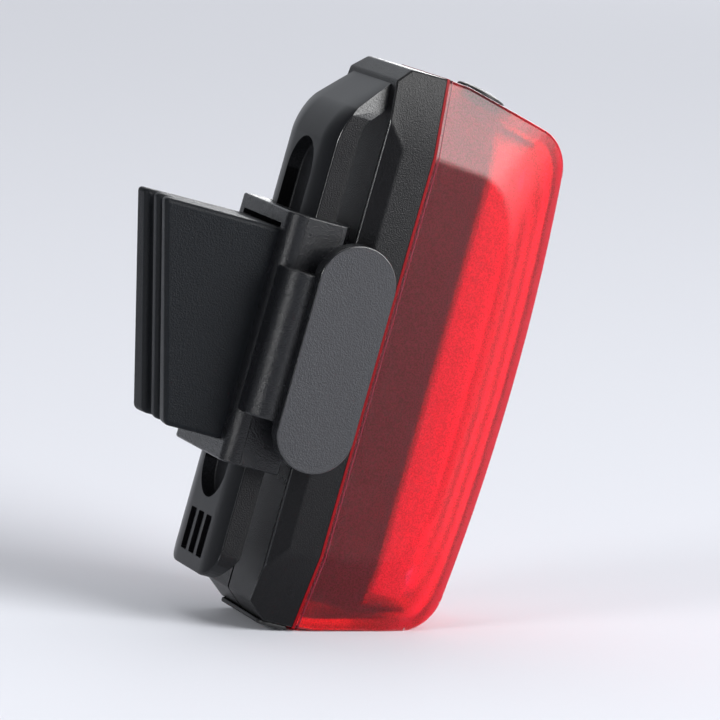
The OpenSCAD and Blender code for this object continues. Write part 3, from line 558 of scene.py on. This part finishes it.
def clip_shape(body, clip):
    """The belt clip: a sloping root, a crowned arm with a long recess, and a barred window."""
    half = clip.width / 2
    front = body.depth + clip.gap
    edge = front + clip.edge_thickness
    back = edge + clip.crown
    root = body.length - clip.top
    bend = root - (back - body.depth)
    under = root - clip.web * math.sqrt(2)
    inside = body.depth - body.wall / 2
    profile = [
        (inside, root), (body.depth, root), (back, bend), (back, clip.foot),
        (front + clip.lead_depth, clip.foot), (front, clip.foot + clip.lead_length),
        (front, under - clip.gap), (body.depth, under), (inside, under)]
    bm = prism(profile, "x", -half, half, rounds=[(2, clip.bend), (6, clip.fillet)])
    corners = [
        e for e in bm.edges
        if all(abs(v.co.z - clip.foot) < SAME for v in e.verts)
        and abs(e.verts[0].co.x - e.verts[1].co.x) < SAME]
    round_off(bm, corners, clip.end_radius, 10)

    # The crown: the back is cut into strips, which are let down towards the sides in a shallow arc
    flat, strips = clip.crown_width / 2, 8
    for i in range(strips):
        for side in (-1, 1):
            split(bm, (side * (flat + (half - flat) * i / strips), 0, 0), (1, 0, 0))
    bm.normal_update()
    level = body.depth + 0.1 * MM
    outside = {
        v for f in bm.faces if f.normal.y > 0.3 for v in f.verts if v.co.y > level}
    for v in outside:
        share = max(0, (abs(v.co.x) - flat) / (half - flat))
        along = min(1, max(0, (v.co.z - bend + clip.bend / 2) / (root - bend + clip.bend / 2)))
        along *= along * (3 - 2 * along)
        tilt = math.pi / 4 * along
        v.co -= Vector((0, math.cos(tilt), math.sin(tilt))) * clip.crown * share ** 2 * (1 - along)
    soften(bm, clip.edge, above=40, test=lambda middle, e: outside.issuperset(e.verts))
    slant = (body.width - body.end_width) / 2
    for side in (-1, 1):
        slice_off(bm, (side * half, 0, body.length - clip.taper_top), (side * body.taper, 0, slant))
    low = clip.foot + clip.recess_foot
    high = bend - clip.recess_top
    wide = clip.recess_width / 2
    bottom = back - clip.recess_depth
    recess_round = wide - 0.02 * MM  # A hair short of a half circle
    recess = prism(
        rectangle(-wide, wide, low, high), "d", bottom, back + PAST,
        rounds=[(i, recess_round) for i in range(4)])
    soften(recess, 0.25 * MM, above=30, test=lambda middle, e: middle.y < bottom + 0.01 * MM)
    window_low = clip.foot + (clip.recess_foot - clip.window_length) / 2
    cell = (clip.window_width - 2 * clip.bar) / 3
    cells = []
    for i in (-1, 0, 1):
        left = i * (cell + clip.bar) - cell / 2
        cells.append(prism(
            rectangle(left, left + cell, window_low, window_low + clip.window_length), "d",
            back - clip.window_depth, back + PAST, rounds=[(k, 0.3 * MM) for k in range(4)],
            segments=4))
    bm = carved(bm, recess, *cells)
    bm.normal_update()
    for face in bm.faces:
        place, way = face.calc_center_median(), face.normal
        # The recess's lining takes a colour painted lighter, as light in its shade
        if abs(place.x) < wide and low < place.z < high and place.y < back - 0.01 * MM:
            face.material_index = LINING
        elif abs(way.x) > 0.9:
            face.material_index = COARSE if way.z > 0.15 else ERODED
        elif abs(place.x) > half - clip.edge and abs(way.x) > 0.3 and way.y > 0.2:
            face.material_index = BURNISHED
    return bm


def hollow_back(body, clip, bracket):
    """Depth of the back of the sleeve's hollow, behind the clip's crown."""
    return body.depth + clip.gap + clip.edge_thickness + clip.crown + bracket.clearance


def sleeve_shape(body, clip, bracket, pad):
    """The bracket's sleeve: a C-shaped section round the clip, open to the housing, with a slot."""
    half = clip.width / 2 + bracket.clearance
    out = half + bracket.wall
    lip_back = body.depth + clip.gap - bracket.clearance
    front = lip_back - bracket.lip
    edge = body.depth + clip.gap + clip.edge_thickness + bracket.clearance
    crown = hollow_back(body, clip, bracket)
    back = crown + bracket.back
    flat = clip.crown_width / 2
    reach = half - bracket.lip_reach
    section = mirrored([
        (out, back), (out, front), (reach, front), (reach, lip_back), (half, lip_back),
        (half, edge), (flat, crown)])
    last = len(section) - 1
    top = bracket.foot + bracket.length
    bm = prism(
        section, "h", bracket.foot, top, rounds=[(0, bracket.corner), (last, bracket.corner)],
        segments=6)
    soften(bm, bracket.edge, above=30)
    wide = pad.front_width / 2
    slot = prism(
        rectangle(-wide, wide, edge, back + PAST), "h", top - pad.head,
        top - pad.head + bracket.slot)
    seam = back - bracket.corner
    floor = out - bracket.seam / 2
    seams = [
        prism(
            rectangle(side * floor, side * (out + PAST), seam - bracket.seam, seam), "h",
            bracket.foot - PAST, top + PAST)
        for side in (-1, 1)]
    return carved(bm, slot, *seams)


def hook_shape(body, clip, bracket, side):
    """A strap hook: a neck with a round corner and an oblong plate."""
    half = clip.width / 2 + bracket.clearance
    out = half + bracket.wall
    back = hollow_back(body, clip, bracket) + bracket.back
    inner = out + bracket.hook_gap
    middle = bracket.foot + bracket.length / 2
    neck_back = back - bracket.neck_back
    neck_front = neck_back - bracket.neck_depth
    neck = prism(
        rectangle(side * (out - bracket.corner), side * (inner + PAST), neck_front, neck_back), "h",
        middle - bracket.neck_length / 2, middle + bracket.neck_length / 2,
        rounds=[(2, bracket.neck_radius)], segments=8)
    soften(neck, 0.3 * MM, above=40)
    depth = back - bracket.hook_back - bracket.hook_width / 2
    wide, tall = bracket.hook_width / 2, bracket.hook_length / 2
    low, high = sorted((side * inner, side * (inner + bracket.hook_thickness)))
    plate_round = wide - 0.01 * MM  # A hair short of a half circle
    plate = prism(
        rectangle(depth - wide, depth + wide, middle - tall, middle + tall), "x", low, high,
        rounds=[(i, plate_round) for i in range(4)], segments=16)
    soften(plate, 0.18 * MM, above=40)
    plate.normal_update()
    for face in plate.faces:
        out_way = face.normal.x * side
        face.material_index = (
            HOOK_FACE if out_way > 0.99 else HOOK_RIM if out_way > 0.1 else HOOK_BODY)
    return joined(neck, plate)


def pad_shape(body, clip, bracket, pad):
    """The wedge pad: a tapered block, deeper at its top, with two grooves between three ribs."""
    face = hollow_back(body, clip, bracket) + bracket.back
    low = bracket.foot + pad.foot
    high = bracket.foot + bracket.length - pad.head
    back = face + pad.top_depth
    rib = pad.rib / 2
    outer = rib + pad.groove
    half, rear = pad.front_width / 2, pad.back_width / 2
    curve = 0.65 * pad.saddle  # Depth of the saddle at the outer ribs' inner edges
    section = mirrored([
        (half, face), (rear, back), (outer, back - curve), (outer, back - pad.groove_depth),
        (rib, back - pad.groove_depth), (rib, back - pad.saddle)])
    bm = prism(section, "h", low, high)
    fall = pad.top_depth - pad.foot_depth
    foot = [v for v in bm.verts if v.co.z < low + SAME and v.co.y > face + MM]
    spread = (half - rear) / pad.top_depth * fall
    for v in foot:
        if abs(v.co.x) > outer + SAME:
            bmesh.ops.translate(bm, verts=[v], vec=(math.copysign(spread, v.co.x), 0, 0))
    bmesh.ops.translate(bm, verts=foot, vec=(0, -fall, 0))
    soften(bm, pad.edge, above=20, segments=4, test=lambda middle, e: middle.y > face + SAME)
    return bm


def plane(point, outward):
    """A plane, as its unit normal and its distance from the origin."""
    normal = Vector(outward).normalized()
    return normal, normal.dot(Vector(point))


def planes_between(first, second, radius, steps):
    """Planes that round the edge between two planes off to a radius."""
    made = []
    for i in range(1, steps):
        share = i / steps
        normal = first[0].lerp(second[0], share)
        a, b = (1 - share) / normal.length, share / normal.length
        distance = a * (first[1] - radius) + b * (second[1] - radius) + radius
        made.append((normal.normalized(), distance))
    return made


def lens_form(body, lens, inset):
    """The outer form of the lens, or the inner one, moved inwards by the wall."""
    half, middle = body.width / 2, body.length / 2
    run = lens.depth - lens.root_depth
    fall = run * math.tan(lens.end_draft)

    # A block with room to spare, which the planes below cut to the form
    room = 1.5
    bm = bmesh.new()
    bmesh.ops.create_cube(bm, size=1)
    bmesh.ops.scale(
        bm, vec=(body.width * room, lens.depth * 2, body.length * room), verts=bm.verts[:])
    bmesh.ops.translate(bm, vec=(0, -lens.depth, middle), verts=bm.verts[:])

    def cut(normal, distance):
        slice_off(bm, normal * (distance - inset), normal)

    cut(*plane((0, -lens.depth, 0), (0, -1, 0)))
    for end, level in ((-1, 0), (1, body.length)):
        cut(*plane((0, 0, level), (0, -lens.root_drop, end * lens.root_depth)))
        cut(*plane((0, -lens.root_depth, level - end * lens.root_drop), (0, -fall, end * run)))
    front = inset - lens.depth
    corners = [
        e for e in bm.edges
        if all(abs(v.co.y - front) < SAME for v in e.verts)
        and abs(e.verts[0].co.z - e.verts[1].co.z) < SAME]
    reach = (lens.corner - inset) * math.tan((math.pi / 2 - lens.end_draft) / 2)
    round_off(bm, corners, reach, 12)

    # The bow is added below, so the front band is cut that much further back
    turn_depth = lens.side_depth - lens.bow
    turn_x = half - lens.draft
    taper = (half - body.end_width / 2) / body.taper
    turn = math.atan(taper * (lens.root_drop + fall) / lens.depth)
    tip = math.atan(taper * math.cos(turn))
    for side in (-1, 1):
        cut(*plane((side * half, 0, 0), (side * lens.side_depth, -lens.draft, 0)))
        band = plane((side * turn_x, -turn_depth, 0),
                     (side * (lens.depth - turn_depth), lens.face_width / 2 - turn_x, 0))
        cut(*band)
        for end, level in ((-1, 0), (1, body.length)):
            corner = plane(
                (side * body.end_width / 2, 0, level),
                (side * math.cos(tip) * math.cos(turn), -math.cos(tip) * math.sin(turn),
                 end * math.sin(tip)))
            cut(*corner)
            for between in planes_between(band, corner, lens.blend, 10):
                cut(*between)
    slice_off(bm, (0, 0, 0), (0, 1, 0))
    bm.normal_update()
    width, steps = (lens.edge / 5, 2) if inset else (lens.edge, 5)
    soften(bm, width, segments=steps, above=9, test=lambda place, e: place.y < -0.01 * MM)
    bm.normal_update()
    bmesh.ops.delete(bm, geom=[f for f in bm.faces if f.normal.y > 0.99], context="FACES_ONLY")

    # Bow of the front, drawn in level by level and faded out along the sides
    span = middle - lens.root_drop - fall - reach
    levels = 14
    for i in range(levels + 1):
        split(bm, (0, 0, middle + span * (2 * i / levels - 1)), (0, 0, 1))
    fade = turn_depth * 0.6  # Depth at which the bow starts on the sides
    for v in bm.verts:
        share = min(1, max(0, (-v.co.y - fade) / (turn_depth - lens.edge - fade)))
        v.co.y -= share * lens.bow * max(0, 1 - ((v.co.z - middle) / span) ** 2)
    return bm


def button_place(body, lens, button):
    """Frame of the power button: z along its travel, zero on the lens's end face."""
    fall = (button.depth - lens.root_depth) * math.tan(lens.end_draft)
    level = body.length - lens.root_drop - fall
    return Matrix.Translation((0, -button.depth, level)) @ Matrix.Rotation(lens.end_draft, 4, "X")


def lens_shape(body, lens, button):
    """The lens: its outer and inner forms, joined at the open back, with the button's hole."""
    inner = lens_form(body, lens, lens.wall)
    bmesh.ops.reverse_faces(inner, faces=inner.faces[:])
    bm = joined(lens_form(body, lens, 0), inner)
    rims = [e for e in bm.edges if e.is_boundary]
    bmesh.ops.bridge_loops(bm, edges=rims)
    radius = button.diameter / 2 + button.clearance
    hole = bmesh.new()
    bmesh.ops.create_cone(
        hole, cap_ends=True, segments=64, radius1=radius, radius2=radius, depth=6 * lens.wall,
        matrix=button_place(body, lens, button))
    return carved(bm, hole)


def button_shape(body, lens, button):
    """The power button: stem, collar and a low dome with a soft edge, turned round its axis."""
    radius = button.diameter / 2
    collar_top = -lens.wall - button.collar_gap
    collar_low = collar_top - button.collar_thickness
    profile = [
        (0, -button.stem_length), (button.stem / 2, -button.stem_length),
        (button.stem / 2, collar_low), (radius + button.collar, collar_low),
        (radius + button.collar, collar_top), (radius, collar_top)]
    rounds = 6
    for i in range(rounds + 1):
        turn = i / rounds * math.pi / 2
        profile.append((radius - button.edge * (1 - math.cos(turn)),
                        button.step - button.edge * (1 - math.sin(turn))))
    for share in (0.7, 0.45, 0.2, 0):
        profile.append((radius * share, button.step + button.dome * (1 - share * share)))
    bm = bmesh.new()
    verts = [bm.verts.new((r, 0, z)) for r, z in profile]
    edges = [bm.edges.new(pair) for pair in zip(verts, verts[1:])]
    bmesh.ops.spin(
        bm, geom=verts + edges, cent=(0, 0, 0), axis=(0, 0, 1), angle=2 * math.pi, steps=64,
        use_merge=True)
    bmesh.ops.remove_doubles(bm, verts=bm.verts[:], dist=NEAR)
    face_outwards(bm)
    bmesh.ops.transform(bm, matrix=button_place(body, lens, button), verts=bm.verts[:])
    return bm


def cover_shape(body, cover):
    """The port cover: a soft-edged flap with a plug that fills the port's mouth."""
    half = body.end_width / 2 - cover.side
    flat = body.depth - body.end_bevel
    brink = body.depth - body.foot_bevel + cover.tab
    corner = 1.2 * MM
    flap = prism(
        rectangle(-half, half, cover.hinge, brink), "h", -cover.thickness, 0,
        rounds=[(2, corner), (3, corner)], segments=6)
    soften(flap, cover.edge, above=40)
    wide = body.port_width / 2 - cover.plug_gap
    deep = body.port_depth / 2 - cover.plug_gap
    plug_round = 0.9 * deep
    plug = prism(
        rectangle(-wide, wide, flat / 2 - deep, flat / 2 + deep), "h", -cover.thickness / 2,
        cover.plug, rounds=[(i, plug_round) for i in range(4)], segments=6)
    return joined(flap, plug)


def ring_shape(body, lens, inset, start, thick):
    """A ring that follows the light's outline, from a distance in front of the parting plane."""
    bm = bmesh.new()
    bm.faces.new([bm.verts.new((x, -start, h)) for x, h in outline(body, inset)])
    bm.normal_update()
    middle = bm.faces[:]
    bmesh.ops.inset_region(
        bm, faces=middle, thickness=lens.wall / 3, use_boundary=True, use_even_offset=True)
    bmesh.ops.delete(bm, geom=middle, context="FACES_ONLY")
    draw_out(bm, (0, -thick, 0))
    return bm


class REARLIGHT_OT_housing(bpy.types.Operator):
    """Make the housing and its belt clip"""
    bl_idname = "rear_light.housing"
    bl_label = "Housing and clip"

    def execute(self, context):
        scene = context.scene
        body, finishes = scene.rear_light_body, scene.rear_light_finishes
        # Spark-eroded ABS: a coarse, dry charcoal grain that lights up on the upward faces
        eroded = grained(
            "Spark-eroded ABS", finishes.housing, grain=0.2, rise=0.065, roughness=0.29,
            spread=0.04, contrast=0.7, specular=0.22)
        # Satin ABS: the same plastic from a smoother tool, with soft highlights on the bend
        satin = grained(
            "Satin ABS", finishes.clip, grain=0.3, rise=0.006, roughness=0.32, spread=0.02,
            contrast=0.2, specular=0.28)
        # Burnished ABS: edges where the tool closed, polished to bright hair lines
        edge = grained(
            "Burnished ABS", finishes.clip, grain=0.3, rise=0.003, roughness=0.16, spread=0.02,
            contrast=0.2, specular=1.0)
        # Lining of the clip's recess: a dry grain, its colour painted lighter than the clip's so
        # that the shaded recess shows lit grain
        lining = grained(
            "Recess ABS painted lighter", finishes.lining, grain=0.25, rise=0.04, roughness=0.5, spread=0.04,
            contrast=0.9, specular=0.3)
        # Coarse-eroded ABS: the slanted sides of the clip's root sparkle in the key light
        coarse = grained(
            "Coarse-eroded ABS", finishes.clip, grain=0.25, rise=0.07, roughness=0.34, spread=0.04,
            contrast=0.6, specular=0.7)
        shell = housing_shape(body)
        settle(shell, "housing_shell", [eroded, edge], "light", ["housing"])
        settle(clip_shape(body, scene.rear_light_clip), "belt_clip",
               [satin, eroded, edge, lining, coarse], "light")
        return {"FINISHED"}


class REARLIGHT_OT_lens(bpy.types.Operator):
    """Make the red lens and its rim"""
    bl_idname = "rear_light.lens"
    bl_label = "Lens"

    def execute(self, context):
        scene = context.scene
        finishes = scene.rear_light_finishes
        body, lens, button = scene.rear_light_body, scene.rear_light_lens, scene.rear_light_button
        # Frosted lens: a deep, grainy red with a painted glow that brightens in streaks towards the
        # front
        frosted = frosted_lens(finishes.lens, glow=0.4, pitch=1.2, start=12 * MM, full=18 * MM)
        settle(lens_shape(body, lens, button), "lens_shell", [frosted], "light", ["lens"])
        # Edge-lit polycarbonate: the cut edge of the lens collects light and glows a pure red
        edge = grained(
            "Edge-lit red polycarbonate", finishes.rim, grain=0.4, rise=0.01, roughness=0.5,
            contrast=0.12, specular=0.15)
        rim = ring_shape(body, lens, -lens.rim_out, 0, lens.rim)
        settle(rim, "lens_rim", [edge], "light")
        # Polished fine bead: a hair line of duller, pinkish red where the two halves of the tool
        # met; its pink is partly a painted highlight along its ridge
        line = grained(
            "Bead red with painted highlight", finishes.bead, grain=0.4, rise=0.005, roughness=0.3,
            contrast=0.12, specular=0.3)
        sunk = 0.01 * MM  # The bead lies this far inside the outline
        bead = ring_shape(body, lens, sunk, lens.bead_set, lens.bead)
        settle(bead, "lens_bead", [line], "light")
        return {"FINISHED"}


class REARLIGHT_OT_rubber(bpy.types.Operator):
    """Make the power button and the port cover"""
    bl_idname = "rear_light.rubber"
    bl_label = "Button and port cover"

    def execute(self, context):
        scene = context.scene
        body = scene.rear_light_body
        # Soft silicone rubber: near black, with a dull sheen along its rounded edges
        rubber = grained(
            "Silicone rubber", scene.rear_light_finishes.rubber, grain=0.3, rise=0.012,
            roughness=0.45, contrast=0.2)
        button = button_shape(body, scene.rear_light_lens, scene.rear_light_button)
        settle(button, "button_cap", [rubber], "button", ["power_button"])
        cover = cover_shape(body, scene.rear_light_cover)
        settle(cover, "port_flap", [rubber], "cover", ["port_cover"])
        return {"FINISHED"}


class REARLIGHT_OT_bracket(bpy.types.Operator):
    """Make the bracket's sleeve and strap hooks"""
    bl_idname = "rear_light.bracket"
    bl_label = "Bracket and hooks"

    def execute(self, context):
        scene = context.scene
        body, clip, bracket = scene.rear_light_body, scene.rear_light_clip, scene.rear_light_bracket
        finishes = scene.rear_light_finishes
        # Moulded polyamide: satin black with a sparkling grain in its highlights
        satin = grained(
            "Satin polyamide", finishes.bracket, grain=0.22, rise=0.06, roughness=0.27,
            spread=0.04, contrast=0.5, specular=0.42)
        # Matte polyamide: the hooks' faces from a bead-blasted tool, dull and greyer
        matte = grained(
            "Matte polyamide", finishes.hook, grain=0.22, rise=0.075, roughness=0.48, spread=0.04,
            contrast=0.4)
        # Burnished polyamide: the rim of each hook's plate, a bright hair line
        edge = grained(
            "Burnished polyamide", finishes.bracket, grain=0.3, rise=0.003, roughness=0.2,
            spread=0.02, contrast=0.2, specular=0.8)
        sleeve = sleeve_shape(body, clip, bracket, scene.rear_light_pad)
        settle(sleeve, "bracket_sleeve", [satin], "bracket", ["bracket"])
        for name, side in (("strap_hook_left", -1), ("strap_hook_right", 1)):
            hook = hook_shape(body, clip, bracket, side)
            settle(hook, name, [satin, matte, edge], "bracket")
        return {"FINISHED"}


class REARLIGHT_OT_pad(bpy.types.Operator):
    """Make the rubber wedge pad"""
    bl_idname = "rear_light.pad"
    bl_label = "Wedge pad"

    def execute(self, context):
        scene = context.scene
        # Moulded rubber: dark, slightly blue, with a fine dry speckle and pale rounded edges
        rubber = grained(
            "Moulded rubber", scene.rear_light_finishes.pad, grain=0.22, rise=0.075,
            roughness=0.43, spread=0.04, contrast=0.6, specular=0.2)
        wedge = pad_shape(
            scene.rear_light_body, scene.rear_light_clip, scene.rear_light_bracket,
            scene.rear_light_pad)
        settle(wedge, "rubber_wedge", [rubber], "bracket", ["wedge_pad"])
        return {"FINISHED"}


class REARLIGHT_OT_inside(bpy.types.Operator):
    """Give the solids that stay their finishes"""
    bl_idname = "rear_light.inside"
    bl_label = "Inner pieces"

    def execute(self, context):
        # Black polycarbonate: a dark satin box behind the lens, with a faint moulded speckle
        black = grained(
            "Black polycarbonate", linear("141416"), grain=0.4, rise=0.01, roughness=0.45,
            contrast=0.2)
        # A smooth white reflector with a painted glow that stands in for light passed on inside the
        # lens
        white = grained(
            "White reflector with painted glowing", linear("f2f0ec"), grain=0.5, rise=0.008, roughness=0.3,
            contrast=0.03, glow=0.7)
        # Milky light guide: cloudy, with a painted glow and painted light and shade in upright
        # streaks along its flutes
        clear = fluted("Milky guide with painted glowing and shading", linear("efe6e4"), pitch=2.2, glow=0.8)
        # White solder mask: a warm white, half-gloss coat on the board
        mask = grained(
            "White solder mask", linear("ece9e0"), grain=0.6, rise=0.006, roughness=0.4,
            contrast=0.05)
        # Green solder mask: a deep green lacquer with a soft gloss
        green = grained(
            "Green solder mask", linear("1f5a36"), grain=0.6, rise=0.006, roughness=0.35,
            contrast=0.15)
        # Black epoxy: moulded chips, dull and finely speckled
        resin = grained(
            "Black epoxy", linear("1a1a1c"), grain=0.3, rise=0.01, roughness=0.5, contrast=0.2)
        # Phosphor resin: the pale yellow fill of an LED that is off
        phosphor = grained(
            "Phosphor resin", linear("f0d878"), grain=0.3, rise=0.01, roughness=0.4, contrast=0.1)
        # Pouch foil: a pale grey laminate, slightly crumpled, with a soft sheen
        foil = grained(
            "Pouch foil", linear("b9bcc0"), grain=0.8, rise=0.02, roughness=0.35, contrast=0.06)
        # Grey foam: open cells that leave a dry, pitted face
        foam = grained(
            "Grey foam", linear("55575a"), grain=0.5, rise=0.08, roughness=0.85, contrast=0.3)
        # Grey elastomer: moulded seals, soft and dull
        grey = grained(
            "Grey elastomer", linear("2c2d30"), grain=0.4, rise=0.02, roughness=0.55, contrast=0.2)
        # Plated steel: a bright grey metal with blurred reflections
        steel = grained(
            "Plated steel", linear("b8b6b2"), grain=0.5, rise=0.01, roughness=0.3, contrast=0.08)
        # Brass: drawn pins, warm yellow and fairly bright
        brass = grained(
            "Brass", linear("c9a35a"), grain=0.4, rise=0.006, roughness=0.25, contrast=0.08)
        for metal in (steel, brass):
            metal.node_tree.nodes["Principled BSDF"].inputs["Metallic"].default_value = 1.0
        worn = {
            "lens_gasket": grey, "button_seal": grey, "tact_switch": black,
            "switch_plunger": black, "usb_socket": steel, "usb_tongue": black,
            "charge_board": green, "driver_chips": resin, "link_pins": brass, "led_board": mask,
            "leds": phosphor, "reflector": white, "diffuser": clear, "inner_frame": black,
            "board_screws": steel, "battery": foil, "battery_tape": foam, "battery_tabs": steel}
        for name, material in worn.items():
            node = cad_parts[name]
            node.data.materials.clear()
            node.data.materials.append(material)
        return {"FINISHED"}


class REARLIGHT_OT_stage(bpy.types.Operator):
    """Make the floor, the lamps, the world and the camera"""
    bl_idname = "rear_light.stage"
    bl_label = "Stage"

    def execute(self, context):
        scene = context.scene
        stage = scene.rear_light_stage
        scene.view_settings.view_transform = "Standard"

        # The floor lies a hair below the light, and reaches past the edge of the picture
        half, drop = 6, 0.02 * MM
        bm = bmesh.new()
        bmesh.ops.create_grid(bm, x_segments=1, y_segments=1, size=half)
        bmesh.ops.translate(bm, verts=bm.verts[:], vec=(0, 0, -drop))
        floor = placed("floor", mesh_of(bm, "floor"))
        # Backdrop paper: an even, pale matte ground that holds the light's shadow
        paper, tree, _ = start_material("Backdrop paper")
        shader = add(tree, "ShaderNodeBsdfDiffuse", {"Color": scene.rear_light_finishes.floor})
        add(tree, "ShaderNodeOutputMaterial", {"Surface": shader.outputs["BSDF"]})
        floor.data.materials.append(paper)

        world = bpy.data.worlds.new("Studio")
        world.use_nodes = True
        scene.world = world
        tree = world.node_tree
        tree.nodes.clear()
        # A room that is pale behind the light and grey all round, seen directly, in gloss and
        # through the lens, and a plain pale light for all else
        path = add(tree, "ShaderNodeLightPath")
        seen = path.outputs["Is Camera Ray"]
        for kind in ("Is Glossy Ray", "Is Transmission Ray"):
            either = add(
                tree, "ShaderNodeMath", {0: seen, 1: path.outputs[kind]}, operation="MAXIMUM")
            seen = either.outputs[0]
        around = add(tree, "ShaderNodeTexCoord").outputs["Generated"]
        behind = (0.94, -0.34, 0)
        way = add(tree, "ShaderNodeVectorMath", {0: around, 1: behind}, operation="DOT_PRODUCT")
        share = add(tree, "ShaderNodeMapRange", {"Value": way.outputs["Value"], "From Min": -1})
        room = add(tree, "ShaderNodeValToRGB", {"Fac": share.outputs["Result"]}, stops=(
            (0.84, linear("6e7074")), (0.95, linear("dde1e7"))))
        light = add(tree, "ShaderNodeBackground", {"Color": linear("f4f6fa"), "Strength": 0.25})
        studio = add(tree, "ShaderNodeBackground", {
            "Color": room.outputs["Color"], "Strength": 1.0})
        mixed = add(tree, "ShaderNodeMixShader", {
            "Fac": seen, 1: light.outputs[0], 2: studio.outputs[0]})
        add(tree, "ShaderNodeOutputWorld", {"Surface": mixed.outputs[0]})

        # Name, place and width of the disc in metres, and power in watts
        lamps = (
            ("Overhead softbox", (0.75, -0.25, 2), 2.4, 17),
            ("Key softbox", (-1.2, -0.85, 0.75), 1.1, 33),
            ("Side softbox", (-0.85, -1.35, 0.35), 0.9, 8),
            ("Fill softbox", (-0.6, 1.4, 0.6), 0.5, 9),
            ("Back softbox", (1.7, -0.9, 0.3), 0.5, 5))
        lit_point = Vector((0, 0, 40 * MM))
        for name, place, width, power in lamps:
            data = bpy.data.lights.new(name, "AREA")
            data.shape = "DISK"
            data.size = width
            data.energy = power
            lamp = placed(name, data)
            lamp.location = place
            lamp.rotation_euler = (lit_point - Vector(place)).to_track_quat("-Z", "Y").to_euler()

        back_way = Vector((
            math.sin(stage.azimuth) * math.cos(stage.elevation),
            -math.cos(stage.azimuth) * math.cos(stage.elevation), math.sin(stage.elevation)))
        level = Vector((math.cos(stage.azimuth), math.sin(stage.azimuth), 0))
        upright = back_way.cross(level)
        right = level * math.cos(stage.roll) + upright * math.sin(stage.roll)
        up = back_way.cross(right)
        middle = Vector((0, 3 * MM, scene.rear_light_body.length / 2))
        aim = lean() @ middle + right * stage.aside + up * stage.above
        data = bpy.data.cameras.new("Camera")
        data.sensor_width = 36
        data.lens = stage.focal
        data.clip_start = 0.01
        data.clip_end = 20
        camera = placed("Camera", data)
        turn = Matrix((right, up, back_way)).transposed().to_4x4()
        camera.matrix_world = Matrix.Translation(aim + back_way * stage.distance) @ turn
        scene.camera = camera
        return {"FINISHED"}


OPERATORS = (
    REARLIGHT_OT_stage, REARLIGHT_OT_housing, REARLIGHT_OT_lens, REARLIGHT_OT_rubber,
    REARLIGHT_OT_bracket, REARLIGHT_OT_pad, REARLIGHT_OT_inside)


class REARLIGHT_PT_panel(bpy.types.Panel):
    """List of the pieces"""
    bl_idname = "REARLIGHT_PT_panel"
    bl_label = "Rear light"
    bl_space_type = "VIEW_3D"
    bl_region_type = "UI"
    bl_category = "Rear light"

    def draw(self, context):
        for operator in OPERATORS:
            self.layout.operator(operator.bl_idname)


GROUPS = {
    "rear_light_body": BodySizes, "rear_light_lens": LensSizes, "rear_light_button": ButtonSizes,
    "rear_light_cover": CoverSizes, "rear_light_clip": ClipSizes,
    "rear_light_bracket": BracketSizes, "rear_light_pad": PadSizes, "rear_light_finishes": Finishes,
    "rear_light_stage": StageSizes}


def register():
    for name, group in GROUPS.items():
        bpy.utils.register_class(group)
        setattr(bpy.types.Scene, name, bpy.props.PointerProperty(type=group))
    for operator in OPERATORS:
        bpy.utils.register_class(operator)
    bpy.utils.register_class(REARLIGHT_PT_panel)


def unregister():
    bpy.utils.unregister_class(REARLIGHT_PT_panel)
    for operator in reversed(OPERATORS):
        bpy.utils.unregister_class(operator)
    for name, group in GROUPS.items():
        delattr(bpy.types.Scene, name)
        bpy.utils.unregister_class(group)


def main():
    register()
    bpy.ops.rear_light.stage()
    bpy.ops.rear_light.housing()
    bpy.ops.rear_light.lens()
    bpy.ops.rear_light.rubber()
    bpy.ops.rear_light.bracket()
    bpy.ops.rear_light.pad()
    bpy.ops.rear_light.inside()


if __name__ == "__main__":
    main()
